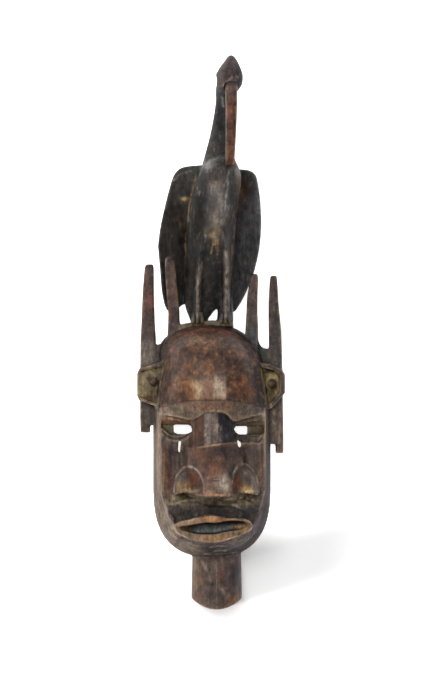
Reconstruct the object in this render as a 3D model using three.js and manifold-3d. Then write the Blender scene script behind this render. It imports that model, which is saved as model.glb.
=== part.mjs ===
// Ntomo mask: a horned face mask with a long-billed bird on its crown, carved from one block of hardwood.
// It lies on its back. +X is the right of the mask as one looks at it, +Y runs from the neck stub to the
// bird's head, and +Z points out of the face. The flat back of the block, the rim it lies on, is z = 0.
// Lengths are millimetres. The two sides differ a little, as the carver left them.
import * as THREE from "three";
import { mergeVertices } from "three/addons/utils/BufferGeometryUtils.js";
import Module from "manifold-3d";

const wasm = await Module();
wasm.setup();

// Driving dimensions of the face
const face = {
  middle: 1, // x of the face's centre line
  crown: 12, // y of the top of the head
  chin: -276, // y of the bottom of the chin
  temple: { y: -30, half: 63 }, // where the crown starts to round over
  cheek: { y: -100, half: 72 }, // widest from here down to the jaw
  jaw: -190, // y where the jaw starts to round in
  depth: 67, // height of the cheeks' front edges above the rim
  crownRoundness: 1.97,
  chinRoundness: 2.6,
};
const forehead = { height: 100, edge: -82, templeHalf: 71, browHalf: 79, shoulder: 0.6 };
const muzzle = { x: 3.5, y: -238, halfWidth: 66, halfLength: 42, rise: 21 };
const mouth = { x: 3.3, y: -237, half: 47.1, crest: 97, floor: 75 };
const undercut = { from: -209, x: 3.7, half: 56, floor: 73 }; // the recess between nose and mouth
const nose = { x: 2.5, top: -97, step: -137.5, base: -200, tip: 112 };
const nostrils = [
  { x: -27, y: -192, z: 64, halfWidth: 18, halfLength: 27.5, rise: 35 },
  { x: 41.5, y: -192, z: 64, halfWidth: 16.4, halfLength: 30, rise: 35 },
];
const eyes = [
  { left: -60.6, right: -23.3, lid: -112, corner: -124.5, bottom: -131.6, droop: 10, cut: 0 },
  { left: 27, right: 65, lid: -114, corner: -124.5, bottom: -135.2, droop: 0, cut: 12 },
];

const clamp01 = (t) => Math.min(1, Math.max(0, t));
const mix = (a, b, t) => a + (b - a) * t;
const bump = (t) => Math.exp(-t * t);

// 0 at `from`, 1 at `to`, eased at both ends
function ease(from, to, t) {
  const s = clamp01((t - from) / (to - from));
  return s * s * (3 - 2 * s);
}

// A quarter superellipse: 1 at r = 0, falling to 0 at r = 1
function round(r, power = 2, fall = power) {
  return Math.max(0, 1 - Math.abs(r) ** power) ** (1 / fall);
}

// A smooth function through a few [place, value] knots, in rising order of place
function through(...knots) {
  const slope = knots.map((knot, i) => {
    const a = knots[Math.max(0, i - 1)];
    const b = knots[Math.min(knots.length - 1, i + 1)];
    return (b[1] - a[1]) / (b[0] - a[0]);
  });
  return (place) => {
    let i = 0;
    while (i < knots.length - 2 && place > knots[i + 1][0]) i += 1;
    const [a, b] = [knots[i], knots[i + 1]];
    const span = b[0] - a[0];
    const t = clamp01((place - a[0]) / span);
    const hermite = (t - 1) ** 2 * ((1 + 2 * t) * a[1] + t * span * slope[i]);
    return hermite + t * t * ((3 - 2 * t) * b[1] + (t - 1) * span * slope[i + 1]);
  };
}

const norm = (a, b, power) => (a ** power + b ** power) ** (1 / power);

// Outline of the face seen from the front: half its width at y
function halfWidth(y) {
  const { temple, cheek, crown, chin, jaw } = face;
  if (y > temple.y) return temple.half * round((y - temple.y) / (crown - temple.y), face.crownRoundness);
  if (y < jaw) return cheek.half * round((jaw - y) / (jaw - chin), face.chinRoundness);
  return mix(cheek.half, temple.half, ease(cheek.y, temple.y, y));
}

// The middle of the face leans to the left at the crown
const centre = (y) => face.middle - 5.8 * ease(-50, -6, y);

// 0 along the middle of the face, 1 on its outline
function outward(x, y) {
  const { temple, cheek, crown, chin, jaw } = face;
  const across = Math.abs(x - centre(y));
  const above = (y - temple.y) / (crown - temple.y);
  if (above > 0) return norm(across / temple.half, above, face.crownRoundness);
  if (y < jaw) return norm(across / cheek.half, (jaw - y) / (jaw - chin), face.chinRoundness);
  return across / halfWidth(y);
}

// Side walls, as a share of the face's depth: steep up to a crisp arris, level beyond it, and rounded
// under the chin
function wall(x, y) {
  const strip = mix(0.14, 0.1, ease(-8, 8, x - face.middle)) + 0.09 * ease(-190, -225, y);
  const side = clamp01((1 - outward(x, y)) / strip) ** 0.55;
  return mix(side, round(outward(x, y), 9, 2), ease(-212, -248, y));
}

// The trough that the features stand on: a muzzle, shallow cheeks, and a recess under the nose
function shell(x, y) {
  const lobe = Math.hypot((x - muzzle.x) / muzzle.halfWidth, (y - muzzle.y) / muzzle.halfLength);
  const cheek = ease(62, 30, Math.abs(x - face.middle)) * ease(-206, -185, y) * ease(-134, -150, y);
  const ground = (face.depth + muzzle.rise * round(lobe)) * wall(x, y) - 7.5 * cheek;
  const half = undercut.half - 10 * ease(-212, -236, y);
  const inside = ease(half + 1.5, half - 1, Math.abs(x - undercut.x));
  const recess = inside * ease(undercut.from + 5, undercut.from, y) * ease(-2, 1, y - lipTop(x));
  return mix(ground, Math.min(ground, undercut.floor), recess);
}

function foreheadHeight(x, y) {
  const half = mix(forehead.templeHalf, forehead.browHalf, ease(-40, -95, y));
  const across = Math.abs(x - centre(y) - 1.2) / half;
  const along = Math.max(0, y - forehead.edge) / (face.crown + 2 - forehead.edge);
  const crest = Math.max(0, 1 - across ** 2.4 - along ** 3.4) ** (1 / 2.4);
  return forehead.height * crest * clamp01((1 - outward(x, y)) / 0.065) ** 0.5;
}

// The forehead's overhanging lower edge, and the lower edge of the brow band beneath it
const browEdge = (x) => forehead.edge - 12 * Math.abs((x - face.middle) / 68) ** 2.4;
const browLower = through(
  [-66, -99.7], [-41, -104], [-23, -107.3], [-16, -103.8], [-8, -99.7], [2, -97], [13.5, -97.7],
  [20.5, -101.7], [27, -108.8], [45, -104.6], [64, -100.4], [72, -99],
);
function browHeight(x, y) {
  return foreheadHeight(x, forehead.edge) - 4 - 0.3 * (browEdge(x) - y);
}

// Eyes: a lid sloping in from the brow, the eye itself, and a rounded lower lid
function eyeBottom(eye, x) {
  const across = (2 * x - eye.left - eye.right) / (eye.right - eye.left);
  return eye.bottom + eye.droop * across ** 2 + eye.cut * ease(0.72, 1.05, across);
}
function eyeHeight(eye, x, y) {
  if (y > eye.lid) return mix(60, 72, ease(eye.lid, browLower(x), y));
  return y > eye.corner + 0.4 * eye.droop * ease(0, 9, eyeBottom(eye, x) - eye.bottom) ? 56 : 64;
}

// The bridge is cut in upright facets, steeper on the right
function noseBridge(x, y) {
  const off = x - nose.x - 1.5;
  const front = mix(90.3, 92, (nose.top - y) / (nose.top - nose.step));
  const left = 0.25 * Math.max(0, -off - 5) + 0.3 * Math.max(0, -off - 13);
  const right = 0.62 * Math.max(0, off - 5.5) + 0.3 * Math.max(0, off - 15);
  return front - left - right - 3.5 * Math.max(0, Math.abs(x - 1.9) - 24);
}

const noseStep = (x) => nose.step + 0.16 * Math.max(-22, Math.min(22, x - nose.x));
const noseBase = (x) => nose.base + 5 * bump((x + 29) / 14) + 4 * bump((x - 40) / 14);
function noseBody(x, y) {
  const down = clamp01((nose.step - y) / (nose.step - nose.base));
  const off = Math.abs(x - mix(3.5, 6.5, down));
  const above = Math.max(0, y - noseStep(x));
  const below = Math.max(0, noseBase(x) - y);
  const side = 0.3 * Math.max(0, off - 8) + 0.7 * Math.max(0, off - 15) + 2 * Math.max(0, off - 31.5);
  return mix(95, nose.tip, down ** 1.2) - side - 4 * above - 2.9 * below;
}

// Outer and inner borders of the lips. The mouth is a lens with a raised rim and a blind opening.
const mouthShare = (x) => Math.min(1, Math.abs(x - mouth.x) / mouth.half);
const lipTop = through(
  [-43.8, -235.8], [-42.4, -233.8], [-22, -228.1], [-6.7, -224.4], [2, -224], [17, -226.8], [39, -228.6],
  [46, -230.4], [49.2, -233.2], [50.4, -235.8],
);
const lipBottom = through(
  [-43.8, -238.2], [-42, -242.6], [-37.3, -246.8], [-22, -253], [-5, -255.4], [10, -254.9], [31.5, -248.5],
  [43, -243.6], [48.8, -240.5], [50.4, -238.2],
);
const upperLip = through([-44, 2], [-38, 4.6], [-6.7, 7.9], [5, 8.1], [20, 3], [40, 2.2], [46, 5], [50, 5]);
const lowerLip = through([-44, 2], [-37, 6.2], [0, 9], [18, 9.6], [32, 6.8], [50, 4]);
const lipSpan = (x) => lipTop(x) - lipBottom(x);
const innerTop = (x) => lipTop(x) - Math.min(upperLip(x), 0.4 * lipSpan(x));
const innerBottom = (x) => lipBottom(x) + Math.min(lowerLip(x), 0.4 * lipSpan(x));
function lipHeight(x, y, ground) {
  const beyond = Math.max(0, Math.abs(x - mouth.x) - mouth.half);
  const inside = beyond > 0 ? -Math.hypot(beyond, y - mouth.y) : Math.min(lipTop(x) - y, y - lipBottom(x));
  const rim = mix(ground, mouth.crest - 10 * mouthShare(x) ** 2, ease(-2.4, 0.6, inside));
  const depth = mix(mouth.floor, 88, ease(0.5, 0.95, mouthShare(x))) + 0.3 * (lipBottom(x) + 8 - y);
  return mix(rim, depth, beyond > 0 ? 0 : ease(-0.3, 1.6, Math.min(innerTop(x) - y, y - innerBottom(x))));
}

// Height of the carved front at any point of the face
function faceHeight(x, y) {
  const ground = shell(x, y);
  if (y >= browEdge(x)) return Math.max(forehead.shoulder * ground, foreheadHeight(x, y));
  if (y >= browLower(x)) return Math.max(ground, browHeight(x, y));
  const eye = eyes.find((e) => x > e.left && x < e.right && y > eyeBottom(e, x));
  const under = eye ? Math.min(ground, eyeHeight(eye, x, y)) : ground;
  const features = [under, noseBody(x, y)];
  if (y > nose.step - 6) features.push(noseBridge(x, y));
  return lipHeight(x, y, Math.min(Math.max(...features), 118 * round(outward(x, y), 5, 2)));
}

// A closed body skinned over rings of points, with a fan over each end
function loft(rings) {
  const count = rings[0].length;
  const centre = (ring) => ring.reduce((sum, p) => sum.add(p), new THREE.Vector3()).divideScalar(count);
  const points = [...rings.flat(), centre(rings[0]), centre(rings.at(-1))];
  const [head, tail, last] = [points.length - 2, points.length - 1, (rings.length - 1) * count];
  const index = [];
  for (let j = 0; j < count; j += 1) {
    const k = (j + 1) % count;
    for (let row = 0; row < last; row += count) {
      index.push(row + j, row + count + j, row + count + k, row + j, row + count + k, row + k);
    }
    index.push(head, j, k, tail, last + k, last + j);
  }
  const corner = (n) => points[index[n]];
  let volume = 0;
  for (let n = 0; n < index.length; n += 3) {
    volume += corner(n).dot(corner(n + 1).clone().cross(corner(n + 2)));
  }
  if (volume < 0) index.reverse();
  const geometry = new THREE.BufferGeometry().setFromPoints(points);
  geometry.setIndex(index);
  return geometry;
}

function solid(geometry) {
  const bare = geometry.clone();
  bare.deleteAttribute("normal");
  bare.deleteAttribute("uv");
  const merged = mergeVertices(bare, 1e-4);
  const vertProperties = Float32Array.from(merged.attributes.position.array);
  return new wasm.Manifold(new wasm.Mesh({ numProp: 3, vertProperties, triVerts: merged.index.array }));
}

const vector = (x, y, z) => new THREE.Vector3(x, y, z);

// A ring of rounded section at height y: centre, half sizes, and a power that squares it off
function ring(y, x, z, halfX, halfZ, { sides = 12, power = 2 } = {}) {
  const point = (_, i) => {
    const turn = (2 * Math.PI * (i + 0.5)) / sides;
    const [c, s] = [Math.cos(turn), Math.sin(turn)];
    const stretch = (Math.abs(c) ** power + Math.abs(s) ** power) ** (-1 / power);
    return vector(x + halfX * c * stretch, y, z + halfZ * s * stretch);
  };
  return Array.from({ length: sides }, point);
}

// Sections [y, x, z, halfX, halfZ] down a limb become one body, smoothed by `steps` rings per span
function limb(sections, steps, form) {
  const track = [1, 2, 3, 4].map((k) => through(...sections.map((s) => [s[0], s[k]])));
  const rings = [];
  for (let i = 0; i < sections.length - 1; i += 1) {
    for (let j = 0; j < steps; j += 1) rings.push(mix(sections[i][0], sections[i + 1][0], j / steps));
  }
  rings.push(sections.at(-1)[0]);
  return solid(loft(rings.map((y) => ring(y, ...track.map((at) => at(y)), form))));
}

// A plate sawn to an outline seen from the front, between two depths
function plate(outline, back, front) {
  const depth = front - back;
  const geometry = new THREE.ExtrudeGeometry(new THREE.Shape(outline), { depth, bevelEnabled: false });
  return solid(geometry.translate(0, 0, back));
}
const outline = (...pairs) => pairs.map(([x, y]) => new THREE.Vector2(x, y));
const smooth = (pairs, count) => new THREE.SplineCurve(outline(...pairs)).getPoints(count);

// Face: rows follow the carved edges from crown to chin, so that each edge stays crisp
function carvedFront() {
  const level = (y) => () => y;
  const socketBottom = (x) => {
    const eye = eyes.find((e) => x > e.left && x < e.right);
    return eye ? Math.min(-125.6, eyeBottom(eye, x) + 0.2) : -133.8;
  };
  const guides = [
    [level(11.2), 1],
    [level(8.6), 10],
    [level(-78), 1],
    [(x) => browEdge(x) + 0.3, 1],
    [(x) => browEdge(x) - 0.5, 2],
    [(x) => browLower(x) + 0.3, 1],
    [(x) => browLower(x) - 0.5, 1],
    [level(-112), 1],
    [level(-114.5), 1],
    [level(-124.2), 1],
    [level(-125), 2],
    [socketBottom, 1],
    [(x) => Math.min(socketBottom(x) - 0.5, noseStep(x) + 0.6), 1],
    [(x) => Math.min(socketBottom(x) - 1, noseStep(x) - 0.6), 7],
    [(x) => noseBase(x) + 0.4, 1],
    [(x) => noseBase(x) - 4, 1],
    [level(undercut.from), 1],
    [level(undercut.from - 1.5), 2],
    [(x) => lipTop(x) + 2.6, 1],
    [(x) => lipTop(x) - 0.4, 1],
    [innerTop, 1],
    [(x) => mix(innerTop(x), innerBottom(x), 0.12), 1],
    [(x) => mix(innerTop(x), innerBottom(x), 0.5), 1],
    [(x) => mix(innerTop(x), innerBottom(x), 0.88), 1],
    [innerBottom, 1],
    [(x) => lipBottom(x) + 0.4, 1],
    [(x) => lipBottom(x) - 2.6, 4],
    [level(-271), 2],
    [level(-275.4), 0],
  ];
  const rows = guides.flatMap(([guide, count], i) => {
    const next = guides[i + 1]?.[0];
    return Array.from({ length: count }, (_, j) => (x) => mix(guide(x), next(x), j / count));
  });
  rows.push(guides.at(-1)[0]);
  const columns = [
    -72, -71.3, -69.5, -66, -61.9, -61.2, -55, -49, -43, -37, -31, -24.8, -24, -19, -14, -9, -3,
    2.5, 8, 13, 19, 25.7, 26.4, 31, 36, 41, 46, 51, 57, 63.7, 64.6, 67.5, 70, 71.4, 72,
  ];
  const front = rows.map((row) =>
    columns.map((place) => {
      const share = place / face.cheek.half;
      let x = face.middle + place;
      for (let settle = 0; settle < 3; settle += 1) x = centre(row(x)) + share * halfWidth(row(x));
      const y = row(x);
      return vector(x, y, Math.abs(share) === 1 ? 0 : faceHeight(x, y));
    }),
  );
  return solid(loft(front));
}

// The nostrils' wings: round bodies that arch up beside the nose and are cut off at its base
function nostrilWings() {
  return nostrils.map(({ x, y, z, halfWidth, halfLength, rise }) => {
    const dome = new THREE.SphereGeometry(1, 20, 14).rotateX(Math.PI / 2).scale(halfWidth, halfLength, rise);
    const cut = noseBase(x) + 1;
    const below = solid(new THREE.BoxGeometry(60, 30, 130).translate(x, cut - 15, 65));
    return solid(dome.translate(x, y, z)).subtract(below);
  });
}

// The hollow behind the face, open at the back, with a wall of at least 10 mm left all round
function hollow() {
  const inside = { temple: 50, cheek: 61 }; // half widths
  const [top, bottom] = [-7, -263];
  const roof = through(
    [-263, 18], [-250, 50], [-236, 60], [-205, 54], [-165, 46], [-120, 49], [-100, 58],
    [-82, 76], [-60, 80], [-35, 74], [-15, 50], [-7, 24],
  );
  const half = (y) => {
    const { temple, cheek, jaw } = face;
    if (y > temple.y) return inside.temple * round((y - temple.y) / (top - temple.y), 3);
    if (y < jaw) return inside.cheek * round((jaw - y) / (jaw - bottom), face.chinRoundness);
    return mix(inside.cheek, inside.temple, ease(cheek.y, temple.y, y));
  };
  const levels = [
    -7.4, -9, -14, -22, -32, -45, -62, -82, -100, -120, -145, -170, -195, -215, -232, -246, -256, -262,
  ];
  const shares = [-1, -0.985, -0.92, -0.78, -0.6, -0.3, 0, 0.3, 0.6, 0.78, 0.92, 0.985, 1];
  const ringAt = (y) => {
    const vault = shares.map((u) => vector(face.middle + u * half(y), y, roof(y) * round(u, 4, 2)));
    return [vector(vault[0].x, y, -3), ...vault, vector(vault.at(-1).x, y, -3)];
  };
  return solid(loft(levels.map(ringAt)));
}

// What is sawn right through the face: the eyes, and a slit for tears under each
function openings() {
  const holes = [
    [[-45.6, -123], [-45.8, -117], [-45.4, -113.4], [-30, -113.4], [-26.6, -115], [-24.2, -119.6],
      [-29.5, -123.7], [-34, -124.4], [-42, -124.3]],
    [[28.2, -118], [30.6, -115], [43, -114.8], [44.4, -116], [44.4, -123.8], [43, -124.9], [34.6, -124.9],
      [30.4, -122.2]],
    [[-40.3, -143.5], [-39.8, -133], [-36.8, -133], [-36.9, -137], [-38, -142], [-38.2, -147],
      [-39.6, -147.3]],
    [[32.2, -132], [34, -132.6], [36.9, -135.8], [36.7, -139], [34.8, -141.2], [32.8, -138]],
  ];
  return holes.map((pairs) => plate(outline(...pairs), -5, 110));
}

// The half-round stub of neck below the chin
function neckStub() {
  const [middle, half, height] = [7, 30.5, 42];
  const shares = [-1, -0.97, -0.88, -0.7, -0.45, -0.15, 0.15, 0.45, 0.7, 0.88, 0.97, 1];
  const ringAt = (y, sag) =>
    shares.map((u) => vector(middle + u * half, y + sag * Math.abs(u) ** 2, height * round(u, 2.6, 2.2)));
  return solid(loft([ringAt(-255, 0), ringAt(-300, 0), ringAt(-326, 6), ringAt(-340, 13)]));
}

// Four horns. The outer pair run on down past the ears as square-ended bars.
function horns() {
  const bars = [
    [
      [-123, -80.8, 21, 6, 9], [-100, -81, 21, 6.2, 10], [-14, -77.3, 22, 9.6, 10.5],
      [10, -77.3, 22, 8.5, 10], [47, -77.1, 23, 7.1, 8.5], [77, -76.1, 24, 5.8, 7], [82, -75.8, 24, 5, 6],
      [84, -75.6, 24, 4, 5],
    ],
    [
      [-148.3, 84.2, 20, 4.8, 8], [-100, 83.6, 21, 5, 9], [-24, 79.4, 22, 7.8, 10.5], [3, 78.7, 22, 7.6, 10],
      [32, 77.1, 23, 6.3, 8.5], [62, 76.8, 24, 4.7, 7], [69, 77, 24, 3.9, 6], [70, 77, 24, 3.5, 5],
    ],
    [
      [-30, -44, 34, 9, 12], [-4, -45, 38, 8.4, 11], [12, -45.4, 41, 7.3, 8], [29, -45.8, 42, 7, 7.5],
      [60, -48.6, 42, 6.9, 7], [86, -50.3, 41, 6.2, 6], [91, -50.8, 41, 5, 5], [93, -51, 41, 3.6, 4],
    ],
    [
      [-34, 47, 34, 9, 12], [-8, 49.6, 39, 8.2, 11], [10, 50.1, 42, 7.5, 8], [25, 50.2, 42, 6.8, 7.5],
      [47, 51, 42, 6.3, 7], [63, 52.9, 41, 4.9, 6], [70, 53.8, 41, 3.6, 5], [72, 54, 41, 2.6, 4],
    ],
  ].map((sections) => limb(sections, 1, { sides: 8, power: 6 }));
  // the wood left between the horns' roots and down to the bars' lower ends
  const webs = [
    [[-81, -114], [-60, -114], [-45, -40], [-45, 0], [-50, -2], [-57, -10.6], [-61, -13.4], [-66, -15],
      [-72, -15.4], [-81, -10]],
    [[60, -137], [84, -137], [84, -16], [73.6, -17], [71, -20.2], [65, -19.2], [61.6, -17], [59.4, -13.4],
      [57, -8], [46, -10], [46, -40]],
  ].map((pairs) => plate(outline(...pairs), 12, 32));
  return [...bars, ...webs];
}

// Ears: brackets that stand out beside the temples, hollowed in front round a turned knob
function ear(side, shape, cup, knob, ramp) {
  const [back, front, floor] = [24, 57, 41];
  const bracket = plate(outline(...shape), back, front);
  // the front slopes back towards the outer edge, and the cup's floor ramps up to it
  const lean = new THREE.BoxGeometry(90, 120, 30).rotateY(side * 0.2);
  const slope = solid(lean.translate(side * 73, -62, front + 13));
  const rise = new THREE.BoxGeometry(50, 120, 30).rotateY(-side * 0.4);
  const floorRamp = solid(rise.translate(side * ramp, -62, floor - 16.3));
  const recess = plate(outline(...cup), floor, front + 9).subtract(floorRamp);
  const stem = new THREE.CylinderGeometry(4.6, 5.2, 9, 10).rotateX(Math.PI / 2);
  const turned = solid(stem.translate(knob[0], knob[1], floor + 3));
  return bracket.subtract(recess).subtract(slope).add(turned);
}
function ears() {
  const left = {
    shape: [[-90.7, -50], [-88.5, -45], [-54, -33], [-54, -92], [-68, -90], [-88, -83], [-90.7, -78]],
    cup: [[-92, -50], [-84, -47], [-60, -41.2], [-60, -86.7], [-69, -86.5], [-84, -80.5], [-92, -77]],
    knob: [-70.5, -60.5],
  };
  const right = {
    shape: [
      [90.7, -74], [90.7, -51], [87.5, -46.5], [72, -38.5], [56, -37], [56, -93], [74, -93], [86, -79],
    ],
    cup: [[84, -74], [84, -53], [77, -46.5], [64, -43], [62, -43], [62, -88.4], [72, -88]],
    knob: [75, -62.5],
  };
  return [ear(-1, left.shape, left.cup, left.knob, 66), ear(1, right.shape, right.cup, right.knob, 76)];
}

// Bird: wings cupped round a long body, a neck that arches forward, and a bill that comes down to the breast
function wings() {
  const pairs = [
    [-65.2, 106], [-62.5, 128], [-57.5, 152], [-51.5, 176], [-46.5, 192], [-39, 201.5], [-26, 205.2],
    [0, 206], [33, 201.5], [47, 199.5], [54.5, 194], [57.8, 182], [60.6, 160], [61.6, 130], [58.9, 101],
    [52.8, 74], [45.3, 54], [35.5, 35], [26, 25], [8.6, 36], [-20, 37], [-33, 35], [-40, 30], [-48, 26],
    [-55, 29], [-60, 48], [-62.6, 78],
  ];
  const cup = (x, y) => 27 * (Math.max(0, Math.abs(x) - 16) / 46) ** 1.8 * mix(0.8, 1.1, ease(200, 60, y));
  const places = [-68, -63, -57, -49, -40, -30, -16, 16, 30, 40, 49, 57, 63, 68];
  const ringAt = (y) => [
    ...places.map((x) => vector(x, y, cup(x, y))),
    ...places.toReversed().map((x) => vector(x, y, cup(x, y) + 8.5)),
  ];
  return solid(loft([210, 160, 110, 60, 15].map(ringAt))).intersect(plate(smooth(pairs, 66), -1, 60));
}
function birdBody() {
  return limb([
    [42, -4, 19, 27, 11], [60, -3.5, 23, 29, 15], [90, -1.5, 28, 30, 21], [120, 0.5, 31, 29.5, 26],
    [150, 3, 32, 29, 29], [175, 7, 32, 28.6, 29], [192, 10.5, 31, 26.6, 26], [203, 11.6, 30, 22.2, 22.5],
    [212, 12.9, 30, 15.4, 18], [218, 15, 30, 9, 12.5], [220.5, 15.5, 30, 5, 7],
  ], 1, { sides: 16, power: 2.2 });
}
// The tail tapers down behind the left foot, and a hock of wood stands behind the right one
function birdTail() {
  const tail = limb([
    [2, -14.5, 13.2, 6.5, 5], [16, -14.8, 15, 11, 6.5], [32, -11.5, 17, 20, 8], [46, -5, 19, 26, 11],
    [60, -3, 21, 26, 12],
  ], 1, { sides: 12, power: 3 });
  const hock = limb([
    [2, 17.2, 25.6, 9.5, 6], [16, 17.4, 24.6, 10, 7], [30, 17.4, 22, 9.6, 9], [48, 14, 20, 12, 11],
  ], 1, { sides: 10, power: 2.4 });
  return [tail, hock];
}
function birdLegs() {
  const form = { sides: 6, power: 1.5 };
  return [
    [[9, -16.5, 47, 6.5, 6], [22, -17, 44, 5, 8], [60, -16, 40, 5, 13.5], [92, -13.5, 40, 6.5, 19],
      [145, -8, 38, 8, 14]],
    [[9, 17.8, 47, 6.5, 6], [22, 18.2, 44, 5, 8], [60, 18.8, 40, 5, 13.5], [92, 18.8, 40, 6.5, 19],
      [145, 13, 38, 8, 14]],
  ].map((sections) => limb(sections, 2, form));
}
function birdFeet() {
  const toe = (x, spread) => {
    const sections = [[11, x + 1.4 * spread, 54, 2.1, 4], [17, x + spread, 52, 2.4, 5], [25, x, 46, 2.2, 4]];
    return limb(sections, 1, { sides: 6 });
  };
  const foot = (x) => [toe(x - 4.4, -1), toe(x, 0), toe(x + 4.4, 1)];
  return [...foot(-16.5), ...foot(17.8)];
}
// The ledge on the crown that the feet stand on
function birdLedge() {
  const edge = outline(
    [-40, 2], [-28, 6], [-12, 8.5], [10, 8.5], [28, 7.5], [26, 11], [22, 13.5], [10, 15], [0, 15],
    [-14, 13.5], [-30, 11.5], [-39.5, 9.5],
  );
  return plate(edge, 14, 50).subtract(hollow());
}
function birdNeckAndHead() {
  const neck = limb([
    [190, 10, 26, 22, 16], [205, 10.4, 26, 21.4, 14], [221, 10.2, 27, 17, 12], [236, 12.2, 30, 15, 12],
    [257, 14.2, 35, 12.4, 12], [280, 16.4, 42, 11, 12], [302, 18.5, 50, 11.8, 13],
  ], 1, { sides: 12 });
  const head = limb([
    [290, 17.5, 46, 10.8, 11], [296, 19.6, 51, 13, 17], [303, 22.2, 56, 15.4, 22],
    [314, 23.1, 58, 16, 24.5], [323, 23.1, 58, 13.6, 21.5], [331.5, 24.4, 56, 8.6, 15],
    [337.5, 24.5, 55, 4.6, 9], [340, 24.5, 55, 1.5, 3],
  ], 1, { sides: 14 });
  // the head ends in an arch over the root of the bill
  const arch = limb([
    [280, 24.8, 74, 8.6, 14], [297, 24.8, 75, 8.9, 14], [304, 24.7, 76, 8.2, 14], [307.5, 24.6, 76, 5, 14],
  ], 1, { sides: 10, power: 3 });
  const bill = limb([
    [205, 23, 53, 5, 5], [213, 23.3, 55.5, 5.7, 6.5], [240, 24.2, 60, 6.4, 7.5], [272, 24.9, 65, 7.1, 8.6],
    [297, 24.8, 67, 7.4, 9.4], [312, 24.6, 64, 7.4, 9],
  ], 1, { sides: 8, power: 4 });
  const keel = limb([
    [130, 12.5, 54, 3, 6], [150, 14.5, 55, 4, 8], [175, 18.3, 54.5, 4, 8], [192, 20.6, 50.5, 4, 7.5],
    [204, 22, 46.5, 3.5, 6],
  ], 1, { sides: 6, power: 1.4 });
  const eyeball = solid(new THREE.SphereGeometry(3.4, 8, 6).translate(9.6, 315.5, 62));
  return [neck, head.subtract(arch), bill, keel, eyeball];
}

function carvedMask() {
  const block = nostrilWings().reduce((body, wing) => body.add(wing), carvedFront().add(neckStub()));
  const cut = [hollow(), ...openings()].reduce((body, tool) => body.subtract(tool), block);
  const stance = [...birdTail(), ...birdLegs(), ...birdFeet(), birdLedge()];
  const bird = [wings(), birdBody(), ...stance, ...birdNeckAndHead()];
  // the horns' roots and the ears stop at the inside of the wall
  const beside = [...horns(), ...ears()].map((body) => body.subtract(hollow()));
  const whole = [...beside, ...bird].reduce((body, piece) => body.add(piece), cut);
  return whole.simplify(0.01); // millimetres: takes out the slivers left where the bodies cross
}

// Back to a mesh, centred on its own box, standing on z = 0
function meshOf(body, material, name) {
  const { vertProperties, triVerts } = body.getMesh();
  const geometry = new THREE.BufferGeometry();
  geometry.setAttribute("position", new THREE.BufferAttribute(vertProperties, 3));
  geometry.setIndex(new THREE.BufferAttribute(triVerts, 1));
  geometry.computeVertexNormals();
  geometry.computeBoundingBox();
  const { min, max } = geometry.boundingBox;
  const mesh = new THREE.Mesh(geometry, material);
  mesh.name = name;
  mesh.position.set(-(min.x + max.x) / 2, -(min.y + max.y) / 2, -min.z);
  return mesh;
}

const stainedWood = new THREE.MeshStandardMaterial({ color: 0x4a3128, roughness: 0.45, metalness: 0 });

const ntomoMask = new THREE.Group();
ntomoMask.add(meshOf(carvedMask(), stainedWood, "mask"));

export default ntomoMask;
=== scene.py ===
# An ntomo mask, carved from one block of hardwood, lying on its back and seen from straight above.
# Sizes are in the carver's millimetres: +X is the right of the mask as one looks at it, +Y runs from
# the neck stub to the bird's head, +Z points out of the face, and the flat back is z = 0.
import itertools

import bpy
import numpy as np
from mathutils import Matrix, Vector


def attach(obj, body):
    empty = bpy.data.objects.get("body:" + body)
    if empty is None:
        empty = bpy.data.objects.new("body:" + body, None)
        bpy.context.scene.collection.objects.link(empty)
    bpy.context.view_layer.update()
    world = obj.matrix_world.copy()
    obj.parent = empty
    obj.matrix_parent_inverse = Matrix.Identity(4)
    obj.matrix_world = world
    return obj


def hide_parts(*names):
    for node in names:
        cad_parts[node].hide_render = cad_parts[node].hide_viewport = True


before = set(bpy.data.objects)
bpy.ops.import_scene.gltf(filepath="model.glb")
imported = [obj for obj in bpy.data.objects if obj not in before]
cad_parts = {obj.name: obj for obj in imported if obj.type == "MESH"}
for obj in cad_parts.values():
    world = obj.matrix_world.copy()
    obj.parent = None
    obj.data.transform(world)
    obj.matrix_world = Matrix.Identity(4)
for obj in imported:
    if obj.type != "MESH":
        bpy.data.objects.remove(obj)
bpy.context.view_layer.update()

# The block
# A plank of dense brown hardwood, a hand deep. Everything that follows is carved in it, so wood that is
# joined to wood meets in the small hollow that a knife leaves, and never in a seam.
grid_step = 1.15
plank_low, plank_high = (-95.0, -344.0, -4.6), (95.0, 344.0, 117.0)


def soft_min(a, b, hollow):
    """The lesser of two depths, with a hollow fillet of about that radius where they meet."""
    blend = np.maximum(hollow - np.abs(a - b), 0) / hollow
    return np.minimum(a, b) - blend * blend * hollow / 4


def soft_max(a, b, arris):
    return -soft_min(-a, -b, arris)


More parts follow.
